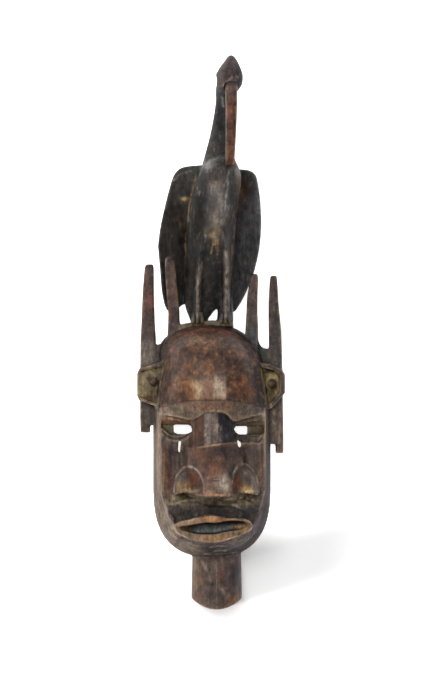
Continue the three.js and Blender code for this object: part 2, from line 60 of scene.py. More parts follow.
class Block:
    """Wood on a grid of points. Each holds its distance to the surface, below 0 in the wood, and its part."""

    far, mark_reach, least_slope = 30, 2.5, 0.25

    def __init__(self, low, high, step):
        self.low, self.step = np.array(low), step
        self.count = np.round((np.array(high) - low) / step).astype(int) + 1
        self.depth = np.full(self.count, self.far, np.float32)
        self.part = np.zeros(self.count, np.uint8)

    def window(self, low, high):
        first, last = ((np.array(end) - self.low) / self.step for end in (low, high))
        first = np.clip(np.floor(first).astype(int), 0, self.count - 2)
        last = np.clip(np.ceil(last).astype(int) + 1, first + 2, self.count)
        lines = [self.low[i] + self.step * np.arange(first[i], last[i]) for i in range(3)]
        return tuple(map(slice, first, last)), np.meshgrid(*lines, indexing="ij", sparse=True)

    def measure(self, shape, low, high):
        """The distance to a shape's surface, from any formula that is 0 there and below 0 inside."""
        place, (x, y, z) = self.window(low, high)
        value = np.asarray(shape(x, y, z), np.float32)
        slope = sum(s * s for s in np.gradient(value, self.step))
        return place, value / np.maximum(np.sqrt(slope), self.least_slope)

    def join(self, part, shape, low, high, fillet=1.0):
        place, depth = self.measure(shape, low, high)
        self.part[place][depth < self.depth[place]] = part
        self.depth[place] = soft_min(self.depth[place], depth, fillet)

    def cut(self, part, shape, low, high, arris=0.8):
        place, depth = self.measure(shape, low, high)
        near = (-depth > self.depth[place]) & (depth < self.mark_reach)
        self.part[place][near] = part
        self.depth[place] = soft_max(self.depth[place], -depth, arris)


wood = Block(plank_low, plank_high, grid_step)
FACE, HOLLOW, OPENING, STUB, HORN, EAR, EAR_CUP, BIRD, BILL = range(1, 10)

# The face
# A trough with steep side walls carries the features: a domed forehead that overhangs a brow band,
# boxed eye sockets, a nose in two steps and a muzzle with a lens-shaped mouth. It is cut in low planes.


def mix(a, b, share):
    return a + (b - a) * share


def over(value):
    """What there is of a value above 0."""
    return np.maximum(0, value)


def share_of(value):
    """A value held between 0 and 1."""
    return np.clip(value, 0, 1)


def ease(start, end, t):
    """0 at start, 1 at end, eased at both ends."""
    s = share_of((t - start) / (end - start))
    return s * s * (3 - 2 * s)


def bump(t):
    return np.exp(-t * t)


def rounding(r, power=2.0, fall=None):
    """A quarter superellipse: 1 at r = 0, falling to 0 at r = 1."""
    return over(1 - np.abs(r) ** power) ** (1 / (fall or power))


def norm(a, b, power):
    return (np.abs(a) ** power + np.abs(b) ** power) ** (1 / power)


def through(*knots):
    """A smooth function through a few (place, value) knots, in rising order of place."""
    places, values = np.array(knots, float).T
    knot, last = np.arange(len(places)), len(places) - 1
    before, after = np.maximum(knot - 1, 0), np.minimum(knot + 1, last)
    slopes = (values[after] - values[before]) / (places[after] - places[before])

    def curve(place):
        i = np.clip(np.searchsorted(places, place) - 1, 0, last - 1)
        span = places[i + 1] - places[i]
        t = share_of((place - places[i]) / span)
        from_left = (t - 1) ** 2 * ((1 + 2 * t) * values[i] + t * span * slopes[i])
        return from_left + t * t * ((3 - 2 * t) * values[i + 1] + (t - 1) * span * slopes[i + 1])

    return curve


middle, crown, chin, jaw = 1.0, 12.0, -276.0, -190.0
temple_y, temple_half, cheek_y, cheek_half, crown_lean = -30.0, 63.0, -100.0, 72.0, 5.8
crown_roundness, chin_roundness = 1.97, 2.6
left_strip, right_strip, chin_strip = 0.14, 0.1, 0.09
face_depth, dome_height, dome_edge, crown_shoulder = 67.0, 100.0, -82.0, 0.6
dome_half, dome_foot_half, dome_roundness = 71.0, 79.0, 2.4
brow_half, brow_sag, brow_step = 68.0, 12.0, 4.0
muzzle_x, muzzle_y, muzzle_half_width, muzzle_half_length, muzzle_rise = 3.5, -238.0, 66.0, 42.0, 21.0
nose_x, nose_top, nose_step, nose_base = 2.5, -97.0, -137.5, -200.0
bridge_top, bridge_foot, nose_root, nose_tip = 90.3, 92.0, 95.0, 112.0
mouth_x, mouth_y, mouth_half = 3.3, -237.0, 47.1
lip_crest, mouth_floor, mouth_end_floor = 97.0, 75.0, 88.0
recess_x, recess_half, recess_floor = 3.7, 56.0, 73.0
upper_lid_low, upper_lid_high, lower_lid_level, ball_level = 60, 73, 63, 56
eyes = [
    dict(left=-60.6, right=-23.3, lid=-112.0, corner=-124.5, bottom=-131.6, droop=10.0, cut=0.0),
    dict(left=27.0, right=65.0, lid=-114.0, corner=-124.5, bottom=-135.2, droop=0.0, cut=1.0),
]
brow_lower = through(
    (-66, -99.7), (-41, -104), (-23, -107.3), (-16, -103.8), (-8, -99.7), (2, -97), (13.5, -97.7),
    (20.5, -101.7), (27, -108.8), (45, -104.6), (64, -100.4), (72, -99),
)


def centre(y):
    """The middle of the face, which leans to the left at the crown."""
    return middle - crown_lean * ease(-50, -6, y)


def shield(across, y, temple, cheek, top, bottom, top_roundness):
    """0 along the middle of a long face shape, 1 on its outline."""
    upper = norm(across / temple, over(y - temple_y) / (top - temple_y), top_roundness)
    lower = norm(across / cheek, over(jaw - y) / (jaw - bottom), chin_roundness)
    side = across / mix(cheek, temple, ease(cheek_y, temple_y, y))
    return np.where(y > temple_y, upper, np.where(y < jaw, lower, side))


def outward(x, y):
    """0 along the middle of the face, 1 on its outline seen from the front."""
    across = np.abs(x - centre(y))
    return shield(across, y, temple_half, cheek_half, crown, chin, crown_roundness)


def wall(x, y):
    """The side walls: steep up to a crisp arris, then level, and rounded under the chin."""
    strip = mix(left_strip, right_strip, ease(-8, 8, x - middle)) + chin_strip * ease(-190, -225, y)
    side = share_of((1 - outward(x, y)) / strip) ** 0.55
    return mix(side, rounding(outward(x, y), 9, 2), ease(-212, -248, y))


def dome(x, y):
    across = (x - centre(y) - 1.2) / mix(dome_half, dome_foot_half, ease(-40, -95, y))
    along = over(y - dome_edge) / (crown + 2 - dome_edge)
    crest = over(1 - np.abs(across) ** dome_roundness - along**3.4) ** (1 / dome_roundness)
    return dome_height * crest * share_of((1 - outward(x, y)) / 0.065) ** 0.5


def brow_edge(x):
    return dome_edge - brow_sag * np.abs((x - middle) / brow_half) ** 2.4


def eye_bottom(eye, x):
    across = (2 * x - eye["left"] - eye["right"]) / (eye["right"] - eye["left"])
    return eye["bottom"] + eye["droop"] * across**2 + 12 * eye["cut"] * ease(0.72, 1.05, across)


def eye_height(eye, x, y):
    upper_lid = mix(upper_lid_low, upper_lid_high, ease(eye["lid"], brow_lower(x), y))
    low = eye_bottom(eye, x)
    lid_top = mix(eye["corner"], eye["corner"] + 0.75 * eye["droop"], ease(0, 9, low - eye["bottom"]))
    lower_lid = lower_lid_level + 2.2 * bump((y - mix(low, lid_top, 0.55)) / 3)
    ball = ball_level + 0.035 * (x - eye["left"])
    below = mix(lower_lid, ball, ease(lid_top - 0.9, lid_top + 0.9, y))
    return mix(below, upper_lid, ease(eye["lid"] - 0.9, eye["lid"] + 0.9, y))


def nose_step_line(x):
    return nose_step + 0.16 * np.clip(x - nose_x, -22, 22)


def nose_base_line(x):
    return nose_base + 5 * bump((x + 29) / 14) + 4 * bump((x - 40) / 14)


def nose_bridge(x, y):
    off = x - nose_x - 1.5
    front = mix(bridge_top, bridge_foot, (nose_top - y) / (nose_top - nose_step))
    left_facets = 0.25 * over(-off - 5) + 0.3 * over(-off - 13)
    right_facets = 0.62 * over(off - 5.5) + 0.3 * over(off - 15)
    return front - left_facets - right_facets - 3.5 * over(np.abs(x - 1.9) - 24)


def nose_body(x, y):
    down = share_of((nose_step - y) / (nose_step - nose_base))
    off = np.abs(x - mix(3.5, 6.5, down))
    above = over(y - nose_step_line(x))
    below = over(nose_base_line(x) - y)
    side = 0.3 * over(off - 8) + 0.7 * over(off - 15) + 2 * over(off - 31.5)
    return mix(nose_root, nose_tip, down**1.2) - side - 4 * above - 2.9 * below


def mouth_share(x):
    return np.minimum(1, np.abs(x - mouth_x) / mouth_half)


lip_top = through(
    (-43.8, -235.8), (-42.4, -233.8), (-22, -228.1), (-6.7, -224.4), (2, -224), (17, -226.8), (39, -228.6),
    (46, -230.4), (49.2, -233.2), (50.4, -235.8),
)
lip_bottom = through(
    (-43.8, -238.2), (-42, -242.6), (-37.3, -246.8), (-22, -253), (-5, -255.4), (10, -254.9), (31.5, -248.5),
    (43, -243.6), (48.8, -240.5), (50.4, -238.2),
)
upper_lip = through((-44, 2), (-38, 4.6), (-6.7, 7.9), (5, 8.1), (20, 3), (40, 2.2), (46, 5), (50, 5))
lower_lip = through((-44, 2), (-37, 6.2), (0, 9), (18, 9.6), (32, 6.8), (50, 4))


def inner_top(x):
    return lip_top(x) - np.minimum(upper_lip(x), 0.34 * (lip_top(x) - lip_bottom(x)))


def inner_bottom(x):
    return lip_bottom(x) + np.minimum(lower_lip(x), 0.36 * (lip_top(x) - lip_bottom(x)))


def inside_lips(x, y):
    """How far a place is inside the inner edges of the lips."""
    return np.minimum(inner_top(x) - y, y - inner_bottom(x))


def lip_height(x, y, ground):
    beyond = over(np.abs(x - mouth_x) - mouth_half)
    inside = np.minimum(lip_top(x) - y, y - lip_bottom(x))
    inside = np.where(beyond > 0, -np.hypot(beyond, y - mouth_y), inside)
    rim = mix(ground, lip_crest - 10 * mouth_share(x) ** 2, ease(-2.4, 0.6, inside))
    floor_here = mix(mouth_floor, mouth_end_floor, ease(0.5, 0.95, mouth_share(x)))
    floor_here = floor_here + 0.3 * (lip_bottom(x) + 8 - y)
    return mix(rim, floor_here, ease(-0.3, 1.6, inside_lips(x, y)) * (beyond == 0))


def face_ground(x, y):
    lobe = np.hypot((x - muzzle_x) / muzzle_half_width, (y - muzzle_y) / muzzle_half_length)
    cheek = ease(62, 30, np.abs(x - middle)) * ease(-206, -185, y) * ease(-134, -150, y)
    ground = (face_depth + muzzle_rise * rounding(lobe)) * wall(x, y) - 7.5 * cheek
    beside_recess = np.abs(x - recess_x) - recess_half + 10 * ease(-212, -236, y)
    recess = ease(-204, -209, y) * ease(1.5, -1, beside_recess) * ease(-2, 1, y - lip_top(x))
    return mix(ground, np.minimum(ground, recess_floor), recess)


def face_height(x, y):
    ground = face_ground(x, y)
    for eye in eyes:
        low = eye_bottom(eye, x)
        inside = ease(-0.9, 0.9, x - eye["left"]) * ease(-0.9, 0.9, eye["right"] - x)
        inside = inside * ease(-0.9, 0.9, y - low)
        ground = mix(ground, np.minimum(ground, eye_height(eye, x, y)), inside)
    bridge = np.where(y > nose_step - 6, nose_bridge(x, y), 0)
    features = soft_max(soft_max(ground, nose_body(x, y), 2.5), bridge, 1.5)
    features = np.minimum(features, 118 * rounding(outward(x, y), 5, 2))
    height = lip_height(x, y, features)
    brow = dome(x, dome_edge) - brow_step - 0.3 * (brow_edge(x) - y)
    height = mix(height, np.maximum(ground, brow), ease(-0.9, 0.9, y - brow_lower(x)))
    forehead = np.maximum(crown_shoulder * ground, dome(x, y))
    height = mix(height, forehead, ease(-0.8, 0.8, y - brow_edge(x)))
    return np.where(outward(x, y) < 1, height, 70 * (1 - outward(x, y)))


wood.join(FACE, lambda x, y, z: z - face_height(x, y), (-78, -284, -5), (80, 16, 117))

# The nostrils' wings
# Two round bodies that arch up beside the nose and end at its base, each with a fine raised arris along
# its arch. They are cut from the same wood as the nose.
nostril_z = 64.0
nostrils = [
    dict(x=-27.0, across=18.0, top=-164.5, lean=0.0),
    dict(x=42.0, across=16.2, top=-162.0, lean=-3.2),
]
nostril_foot, nostril_rise = -192.0, 35.0


def arch(wing, x, y):
    """0 under the middle of a nostril's arch, 1 on the arch."""
    up = (y - nostril_foot) / (wing["top"] - nostril_foot)
    return np.hypot((x - wing["x"] - wing["lean"] * share_of(up) ** 2) / wing["across"], up)


def beside_nose(wing, x, y):
    """1 on the end of an arch that dies away into the nose."""
    toward_nose = np.abs(x - nose_x) < np.abs(wing["x"] - nose_x)
    return toward_nose * ease(-179, -188, y)


def nostril(wing):
    def shape(x, y, z):
        ball = norm(arch(wing, x, y), (z - nostril_z) / nostril_rise, 2.3) - 1
        return np.maximum(ball * wing["across"], (nose_base_line(x) - y) * 0.9)

    return shape


def arch_arris(wing):
    def shape(x, y, z):
        on_arch = (arch(wing, x, y) - 1.02) * wing["across"]
        radius = 1.4 - 2.4 * beside_nose(wing, x, y)
        return np.maximum(np.hypot(on_arch, z - arch_depth(wing, x, y)) - radius, nose_base_line(x) + 2 - y)

    return shape


def arch_depth(wing, x, y):
    return np.maximum(face_height(x, y), nostril_z + 6)


for wing in nostrils:
    low = (wing["x"] - 24, -206, 50)
    high = (wing["x"] + 24, -156, 112)
    wood.join(FACE, nostril(wing), low, high, 3.0)
    wood.join(FACE, arch_arris(wing), low, high, 1.0)

# The neck stub
# A half-round tenon of the same wood, left standing below the chin. Its end is sawn off square and
# rounded a little by wear.
stub_middle, stub_half, stub_height, stub_end = 7.0, 30.5, 42.0, -340.0


def stub(x, y, z):
    share = np.abs((x - stub_middle) / (stub_half - 0.018 * (y + 300)))
    round_front = norm(share, np.maximum(z, 0) / stub_height, 2.4) - 1
    end = stub_end + 13 * np.minimum(share, 1.1) ** 2 - y
    return soft_max(np.maximum(round_front * stub_half, y + 255), end, 1.2)


wood.join(STUB, stub, (-28, -344, -5), (42, -250, 50), 2.5)

# The hollow
# Gouged out behind the face for the wearer, open at the back, with about a finger's width of wood left
# all round. The eyes and two tear slits are pierced right through. The mouth is left blind.
inside_temple, inside_cheek, hollow_top, hollow_bottom, hollow_roundness = 50.0, 61.0, -7.0, -263.0, 3.0
hollow_roof = through(
    (-263, 18), (-250, 50), (-236, 60), (-205, 54), (-165, 46), (-120, 49), (-100, 58), (-82, 76),
    (-60, 80), (-35, 74), (-15, 50), (-7, 24),
)


def hollow_share(x, y):
    across = np.abs(x - middle)
    return shield(across, y, inside_temple, inside_cheek, hollow_top, hollow_bottom, hollow_roundness)


def hollow(x, y, z):
    share = hollow_share(x, y)
    roof = hollow_roof(y) * rounding(share, 4, 2)
    return np.where(share < 1, z - roof, z + 60 * (share - 1))


wood.cut(HOLLOW, hollow, (-66, -270, -5), (68, 0, 90), 2.5)


def off_line(points, x, y, closed=False):
    """Distance from places to a line of straight stretches."""
    corners = np.asarray(points, float)
    ends = np.roll(corners, -1, 0)
    nearest = np.full(np.broadcast(x, y).shape, 1e9)
    for (ax, ay), (bx, by) in list(zip(corners, ends))[: None if closed else -1]:
        run, rise = bx - ax, by - ay
        along = share_of(((x - ax) * run + (y - ay) * rise) / (run**2 + rise**2))
        nearest = np.minimum(nearest, np.hypot(x - ax - along * run, y - ay - along * rise))
    return nearest


def outline(points):
    """Distance to a closed outline seen from the front, below 0 inside."""
    corners = np.asarray(points, float)

    def distance(x, y):
        inside = np.zeros(np.broadcast(x, y).shape, bool)
        for (ax, ay), (bx, by) in zip(corners, np.roll(corners, -1, 0)):
            if ay != by:
                inside ^= ((ay > y) != (by > y)) & (x < ax + (y - ay) * (bx - ax) / (by - ay))
        far = off_line(points, x, y, closed=True)
        return np.where(inside, -far, far)

    return distance


def sawn(points):
    edge = outline(points)
    return lambda x, y, z: edge(x, y) + 0 * z


holes = [
    [
        (-45.6, -122), (-45.8, -117), (-45.6, -113.8), (-44, -113), (-28, -113.2), (-24.6, -114.8),
        (-23.2, -119.2), (-23.4, -120.8), (-28.5, -124), (-34, -124.6), (-41, -124.2),
    ],
    [
        (28.2, -118), (30.6, -115), (43, -114.8), (44.4, -116), (44.4, -123.8), (43, -124.9),
        (34.6, -124.9), (30.4, -122.2),
    ],
    [
        (-40.3, -143.5), (-39.8, -133), (-36.8, -133), (-36.9, -137), (-38, -142), (-38.2, -147),
        (-39.6, -147.3),
    ],
    [(32.2, -132), (34, -132.6), (36.9, -135.8), (36.7, -139), (34.8, -141.2), (32.8, -138)],
]
for points in holes:
    low, high = np.min(points, 0) - 5, np.max(points, 0) + 5
    wood.cut(OPENING, sawn(points), (*low, 20), (*high, 110), 1.2)

# The horns
# Four upright horns, flat in front with rounded arrises. The outer pair are long bars that run on down
# past the ears to a square saw cut, and a web of wood is left between each pair at its root.
bars = [
    [
        (-123, -80.8, 21, 6, 9), (-100, -81, 21, 6.2, 10), (-14, -77.3, 22, 9.6, 10.5),
        (10, -77.3, 22, 8.5, 10), (47, -77.1, 23, 7.1, 8.5), (77, -76.1, 24, 5.8, 7),
        (82, -75.8, 24, 5, 6), (84, -75.6, 24, 4, 5),
    ],
    [
        (-148.3, 84.2, 20, 4.8, 8), (-100, 83.6, 21, 5, 9), (-24, 79.4, 22, 7.8, 10.5),
        (3, 78.7, 22, 7.6, 10), (32, 77.1, 23, 6.3, 8.5), (62, 76.8, 24, 4.7, 7),
        (69, 77, 24, 3.9, 6), (70, 77, 24, 3.5, 5),
    ],
    [
        (-30, -44, 34, 9, 12), (-4, -45, 38, 8.4, 11), (12, -45.4, 41, 7.3, 8), (29, -45.8, 42, 7, 7.5),
        (60, -48.6, 42, 6.9, 7), (86, -50.3, 41, 6.2, 6), (91, -50.8, 41, 5, 5), (93, -51, 41, 3.6, 4),
    ],
    [
        (-34, 47, 34, 9, 12), (-8, 49.6, 39, 8.2, 11), (10, 50.1, 42, 7.5, 8), (25, 50.2, 42, 6.8, 7.5),
        (47, 51, 42, 6.3, 7), (63, 52.9, 41, 4.9, 6), (70, 53.8, 41, 3.6, 5), (72, 54, 41, 2.6, 4),
    ],
]


margin = 9


def limb(sections, square=2.0, end=1.0):
    """A limb along y through sections of (y, x, z, half across, half deep), and the space it reaches."""
    table = np.array(sections, float)
    tracks = [through(*zip(table[:, 0], table[:, k])) for k in range(1, 5)]
    low = table[:, 0].min(), (table[:, 1] - table[:, 3]).min(), (table[:, 2] - table[:, 4]).min()
    high = table[:, 0].max(), (table[:, 1] + table[:, 3]).max(), (table[:, 2] + table[:, 4]).max()

    def shape(x, y, z):
        centre_x, centre_z, across, deep = (track(y) for track in tracks)
        off_x, off_z = (x - centre_x) / across, (z - centre_z) / deep
        side = (norm(off_x, off_z, square) - 1) * np.minimum(across, deep)
        return soft_max(side, np.maximum(table[0, 0] - y, y - table[-1, 0]), end)

    reach_low = (low[1] - margin, low[0] - margin, low[2] - margin)
    return shape, reach_low, (high[1] + margin, high[0] + margin, high[2] + margin)


def plate(points, back, front, arris=1.5):
    """A plate sawn to an outline, between two depths."""
    edge = outline(points)
    ends = np.array(points, float)

    def shape(x, y, z):
        return soft_max(edge(x, y) + 0 * z, np.maximum(back - z, z - front) + 0 * x, arris)

    return shape, (*(ends.min(0) - margin), back - margin), (*(ends.max(0) + margin), front + margin)


def beside_hollow(shape):
    """What stands beside the face stops at the inside of its wall."""
    return lambda x, y, z: np.maximum(shape(x, y, z), -hollow(x, y, z))


for sections in bars:
    shape, low, high = limb(sections, 5.0, 1.5)
    wood.join(HORN, beside_hollow(shape), low, high, 3.0)
webs = [
    [
        (-81, -114), (-60, -114), (-45, -40), (-45, 0), (-50, -2), (-57, -10.6), (-61, -13.4), (-66, -15),
        (-72, -15.4), (-81, -10),
    ],
    [
        (60, -137), (84, -137), (84, -16), (73.6, -17), (71, -20.2), (65, -19.2), (61.6, -17),
        (59.4, -13.4), (57, -8), (46, -10), (46, -40),
    ],
]
for points in webs:
    shape, low, high = plate(points, 12, 32)
    wood.join(HORN, beside_hollow(shape), low, high, 3.0)

# The ears
# A bracket of wood stands out beside each temple. Its front is cupped round a small carved knob, and pale
# dust has settled in the cup.
ear_back, ear_front, ear_floor, ear_slope = 24.0, 57.0, 41.0, 0.2
ears = [
    dict(
        shape=[(-90.7, -50), (-88.5, -45), (-54, -33), (-54, -92), (-68, -90), (-88, -83), (-90.7, -78)],
        cup=[
            (-92, -50), (-84, -47), (-57, -40.5), (-50, -40), (-50, -87), (-69, -86.5), (-84, -80.5),
            (-92, -77),
        ],
        knob=(-70.5, -60.5), ramp=66,
    ),
    dict(
        shape=[
            (90.7, -74), (90.7, -51), (87.5, -46.5), (72, -38.5), (56, -37), (56, -93), (74, -93),
            (86, -79),
        ],
        cup=[(84, -74), (84, -53), (77, -46.5), (64, -43), (54, -43), (54, -89), (72, -88)],
        knob=(75, -62.5), ramp=76,
    ),
]


def sloped(bracket):
    def shape(x, y, z):
        front = z - (ear_front - 2 - ear_slope * (np.abs(x) - 73))
        return soft_max(beside_hollow(bracket)(x, y, z), front, 1.5)

    return shape


def beyond_dome(cup, ramp):
    """A cup beside the forehead, with a floor that ramps up to the outer edge."""

    def shape(x, y, z):
        floor = ear_floor + 0.42 * over(np.abs(x) - ramp)
        return np.maximum(np.maximum(cup(x, y, z), floor - z), 1.0 - (z - face_height(x, y)))

    return shape


def knob(knob_x, knob_y):
    def shape(x, y, z):
        off = np.hypot(x - knob_x, y - knob_y)
        return soft_max(off - 4.9, z - 49 + 0.06 * off**2, 2.5)

    return shape


for ear in ears:
    bracket, low, high = plate(ear["shape"], ear_back, ear_front)
    wood.join(EAR, sloped(bracket), low, high, 2.0)
    cup, low, high = plate(ear["cup"], ear_floor, ear_front + 12)
    wood.cut(EAR_CUP, beyond_dome(cup, ear["ramp"]), low, high, 1.2)
    knob_x, knob_y = ear["knob"]
    wood.join(EAR, knob(knob_x, knob_y), (knob_x - 9, knob_y - 9, 34), (knob_x + 9, knob_y + 9, 56), 1.2)

# The bird
# It stands on the crown on two legs with three toes each, its tail hanging between them. Its wings are
# cupped like a shield behind a long keeled body, the neck leans over and the bill comes down to the breast.
wing_shape = [
    (-65.2, 106), (-62.5, 128), (-57.5, 152), (-51.5, 176), (-46.5, 192), (-39, 201.5), (-26, 205.2),
    (0, 206), (33, 201.5), (47, 199.5), (54.5, 194), (57.8, 182), (60.6, 160), (61.6, 130), (58.9, 101),
    (52.8, 74), (45.3, 54), (35.5, 35), (26, 25), (8.6, 36), (-20, 37), (-33, 35), (-40, 30), (-48, 26),
    (-55, 29), (-60, 48), (-62.6, 78), (-65.2, 106),
]
wing_thickness = 8.5


def smooth_line(points, count):
    """Points along a smooth line through a few chosen ones."""
    corners = np.array([points[0], *points, points[-1]], float)
    places = np.linspace(0, len(points) - 1, count)
    i = np.minimum(places.astype(int), len(points) - 2)
    t = (places - i)[:, None]
    before, start, end, after = (corners[i + k] for k in range(4))
    bend = (2 * before - 5 * start + 4 * end - after) * t**2 + (3 * start - before - 3 * end + after) * t**3
    return 0.5 * (2 * start + (end - before) * t + bend)


wing_edge = outline(smooth_line(wing_shape, 110)[:-1])


def wings(x, y, z):
    back = 27 * (over(np.abs(x) - 16) / 46) ** 1.8 * mix(0.8, 1.1, ease(200, 60, y))
    leaf = np.abs(z - back - wing_thickness / 2) - wing_thickness / 2
    return soft_max(leaf, wing_edge(x, y) + 0 * z, 3)


wood.join(BIRD, wings, (-72, 18, -5), (70, 212, 60), 2)
breast = [
    (42, -4, 19, 27, 11), (60, -3.5, 23, 29, 15), (90, -1.5, 28, 30, 21), (120, 0.5, 31, 29.5, 26),
    (150, 3, 32, 29, 29), (175, 7, 32, 28.6, 29), (192, 10.5, 31, 26.6, 26), (203, 11.6, 30, 22.2, 22.5),
    (212, 12.9, 30, 15.4, 18), (218, 15, 30, 9, 12.5), (220.5, 15.5, 30, 5, 7),
]
tail = [
    (3, -14.5, 13, 6.5, 5), (16, -14.8, 15, 11, 6.5), (32, -11.5, 17, 20, 8), (46, -5, 19, 26, 11),
    (60, -3, 21, 26, 12),
]
hock = [(3, 17.2, 26, 9.5, 6), (16, 17.4, 25, 10, 7), (30, 17.4, 22, 9.6, 9), (48, 14, 20, 12, 11)]
leg_lines = [(-16.5, -17, -16, -13.5, -8), (17.8, 18.2, 18.8, 18.8, 13)]
leg_sections = [(9, 47, 6.5, 6), (22, 44, 5, 8), (60, 40, 5, 13.5), (92, 40, 6.5, 19), (145, 38, 8, 14)]
legs = [[(at_y, at_x, *size) for at_x, (at_y, *size) in zip(line, leg_sections)] for line in leg_lines]
keel = [
    (130, 12.5, 54, 3, 6), (150, 14.5, 55, 4, 8), (175, 18.3, 54.5, 4, 8), (192, 20.6, 50.5, 4, 7.5),
    (204, 22, 46.5, 3.5, 6),
]
neck = [
    (190, 10, 26, 22, 16), (205, 10.4, 26, 21.4, 14), (221, 10.2, 27, 17, 12), (236, 12.2, 30, 15, 12),
    (257, 14.2, 35, 12.4, 12), (280, 16.4, 42, 11, 12), (302, 18.5, 50, 11.8, 13),
]
hood = [
    (290, 17.5, 46, 10.8, 11), (296, 19.6, 51, 13, 17), (303, 22.2, 56, 15.4, 22), (314, 23.1, 58, 16, 24.5),
    (323, 23.1, 58, 13.6, 21.5), (331.5, 24.4, 56, 8.6, 15), (337.5, 24.5, 55, 4.6, 9),
    (340, 24.5, 55, 1.5, 3),
]
# each with its squareness, the rounding of its ends and its fillet
bird_parts = [
    (breast, 2.2, 3, 2.5), (tail, 3, 3, 5), (hock, 2.4, 3, 5), *((leg, 1.5, 2, 4) for leg in legs),
    (keel, 1.4, 2, 4), (neck, 2, 2, 1.6), (hood, 2, 1, 3),
]
for sections, square, end, fillet in bird_parts:
    shape, low, high = limb(sections, square, end)
    wood.join(BIRD, shape, low, high, fillet)
ledge = [
    (-40, 2), (-39.5, 9.5), (-30, 11.5), (-14, 13.5), (0, 15), (10, 15), (22, 13.5), (26, 11),
    (28, 7.5), (10, 8.5), (-12, 8.5), (-28, 6),
]
shape, low, high = plate(ledge, 14, 50)
wood.join(BIRD, beside_hollow(shape), low, high, 2)
for (foot_x, *_), spread in itertools.product(leg_lines, (-1, 0, 1)):
    toe_x = foot_x + 4.4 * spread
    toe = [
        (11, toe_x + 1.4 * spread, 54, 2.1, 4), (17, toe_x + spread, 52, 2.4, 5), (25, toe_x, 46, 2.2, 4),
    ]
    shape, low, high = limb(toe, 2, 1.5)
    wood.join(BIRD, shape, low, high, 1)

bill = [
    (205, 23, 53, 5, 5), (213, 23.3, 55.5, 5.7, 6.5), (240, 24.2, 60, 6.4, 7.5), (272, 24.9, 65, 7.1, 8.6),
    (297, 24.8, 67, 7.4, 9.4), (312, 24.6, 64, 7.4, 9),
]
bill_gap = [
    (286, 24.8, 74, 8.7, 14), (297, 24.8, 75, 8.9, 14), (304, 24.7, 76, 8.2, 14), (307.5, 24.6, 76, 5, 14),
]
shape, low, high = limb(bill_gap, 3, 3)
wood.cut(BIRD, shape, low, high, 1.2)
shape, low, high = limb(bill, 4, 1.5)
wood.join(BILL, shape, low, high, 0.8)
bird_eye_at, bird_eye_radius = (9.6, 315.5, 62.0), 3.4


def bird_eye(x, y, z):
    off = (place - eye_place for place, eye_place in zip((x, y, z), bird_eye_at))
    return np.sqrt(sum(gap**2 for gap in off)) - bird_eye_radius


wood.join(BIRD, bird_eye, (2, 309, 55), (16, 322, 69), 3)

# The carved skin
# The back is planed flat. The skin is taken off the block as one closed mesh, kept fine in front and
# thinned out in the hollow and on the back, where there is little to see.
back_arris, rows_below_back = 0.6, 4
_, (_, _, back_z) = wood.window(plank_low, plank_high)
wood.depth = soft_max(wood.depth, (-back_z).astype(np.float32), back_arris)
wood.depth[:, :, :rows_below_back] = np.maximum(wood.depth[:, :, :rows_below_back], 0.5)
cell_corners = list(itertools.product((0, 1), repeat=3))


def skin(block):
    """A vertex in each cell that the surface crosses, and a square across each crossed grid edge."""
    depth = block.depth
    solid = depth < 0
    filled = 0
    for corner in cell_corners:
        window = tuple(slice(c, c + n - 1) for c, n in zip(corner, depth.shape))
        filled = filled + solid[window].astype(np.uint8)
    cells = np.argwhere((filled > 0) & (filled < 8))
    number = np.full(filled.shape, -1, np.int32)
    number[tuple(cells.T)] = np.arange(len(cells))
    total, crossings = np.zeros((len(cells), 3)), np.zeros(len(cells))
    for corner in cell_corners:
        for axis in range(3):
            if corner[axis]:
                continue
            a = cells + corner
            b = a.copy()
            b[:, axis] += 1
            depth_a, depth_b = depth[tuple(a.T)], depth[tuple(b.T)]
            crossed = (depth_a < 0) != (depth_b < 0)
            share = np.where(crossed, depth_a / np.where(crossed, depth_a - depth_b, 1), 0)
            point = a.astype(float)
            point[:, axis] += share
            total += np.where(crossed[:, None], point, 0)
            crossings += crossed
    points = block.low + block.step * total / crossings[:, None]
    faces = []
    for axis in range(3):
        u, v = (axis + 1) % 3, (axis + 2) % 3
        here, ahead = [slice(1, -1)] * 3, [slice(1, -1)] * 3
        here[axis], ahead[axis] = slice(0, -1), slice(1, None)
        places = np.argwhere(solid[tuple(here)] != solid[tuple(ahead)])
        places[:, u] += 1
        places[:, v] += 1
        ring = []
        for du, dv in ((-1, -1), (0, -1), (0, 0), (-1, 0)):
            at = places.copy()
            at[:, u] += du
            at[:, v] += dv
            ring.append(number[tuple(at.T)])
        quad = np.stack(ring, 1)
        faces.append(np.where(solid[tuple(places.T)][:, None], quad, quad[:, ::-1]))
    return points, np.concatenate(faces)


def between(field, first, t):
    """A field's values between the grid points first and the next ones."""
    value = 0
    for corner in cell_corners:
        weight = np.prod(np.where(corner, t, 1 - t), axis=1)
        value = value + weight * field[tuple(((first + corner) % field.shape).T)]
    return value


def sample(field, points):
    """The value of a field on the block's grid at any points."""
    place = np.clip((points - wood.low) / wood.step, 0, np.array(field.shape) - 1.001)
    first = place.astype(int)
    return between(field, first, place - first)


def part_share(points, *parts):
    return sample(np.isin(wood.part, parts).astype(np.float32), points)


def set_out(name, data):
    """A new object at the middle of the scene."""
    placed = bpy.data.objects.new(name, data)
    bpy.context.scene.collection.objects.link(placed)
    return placed


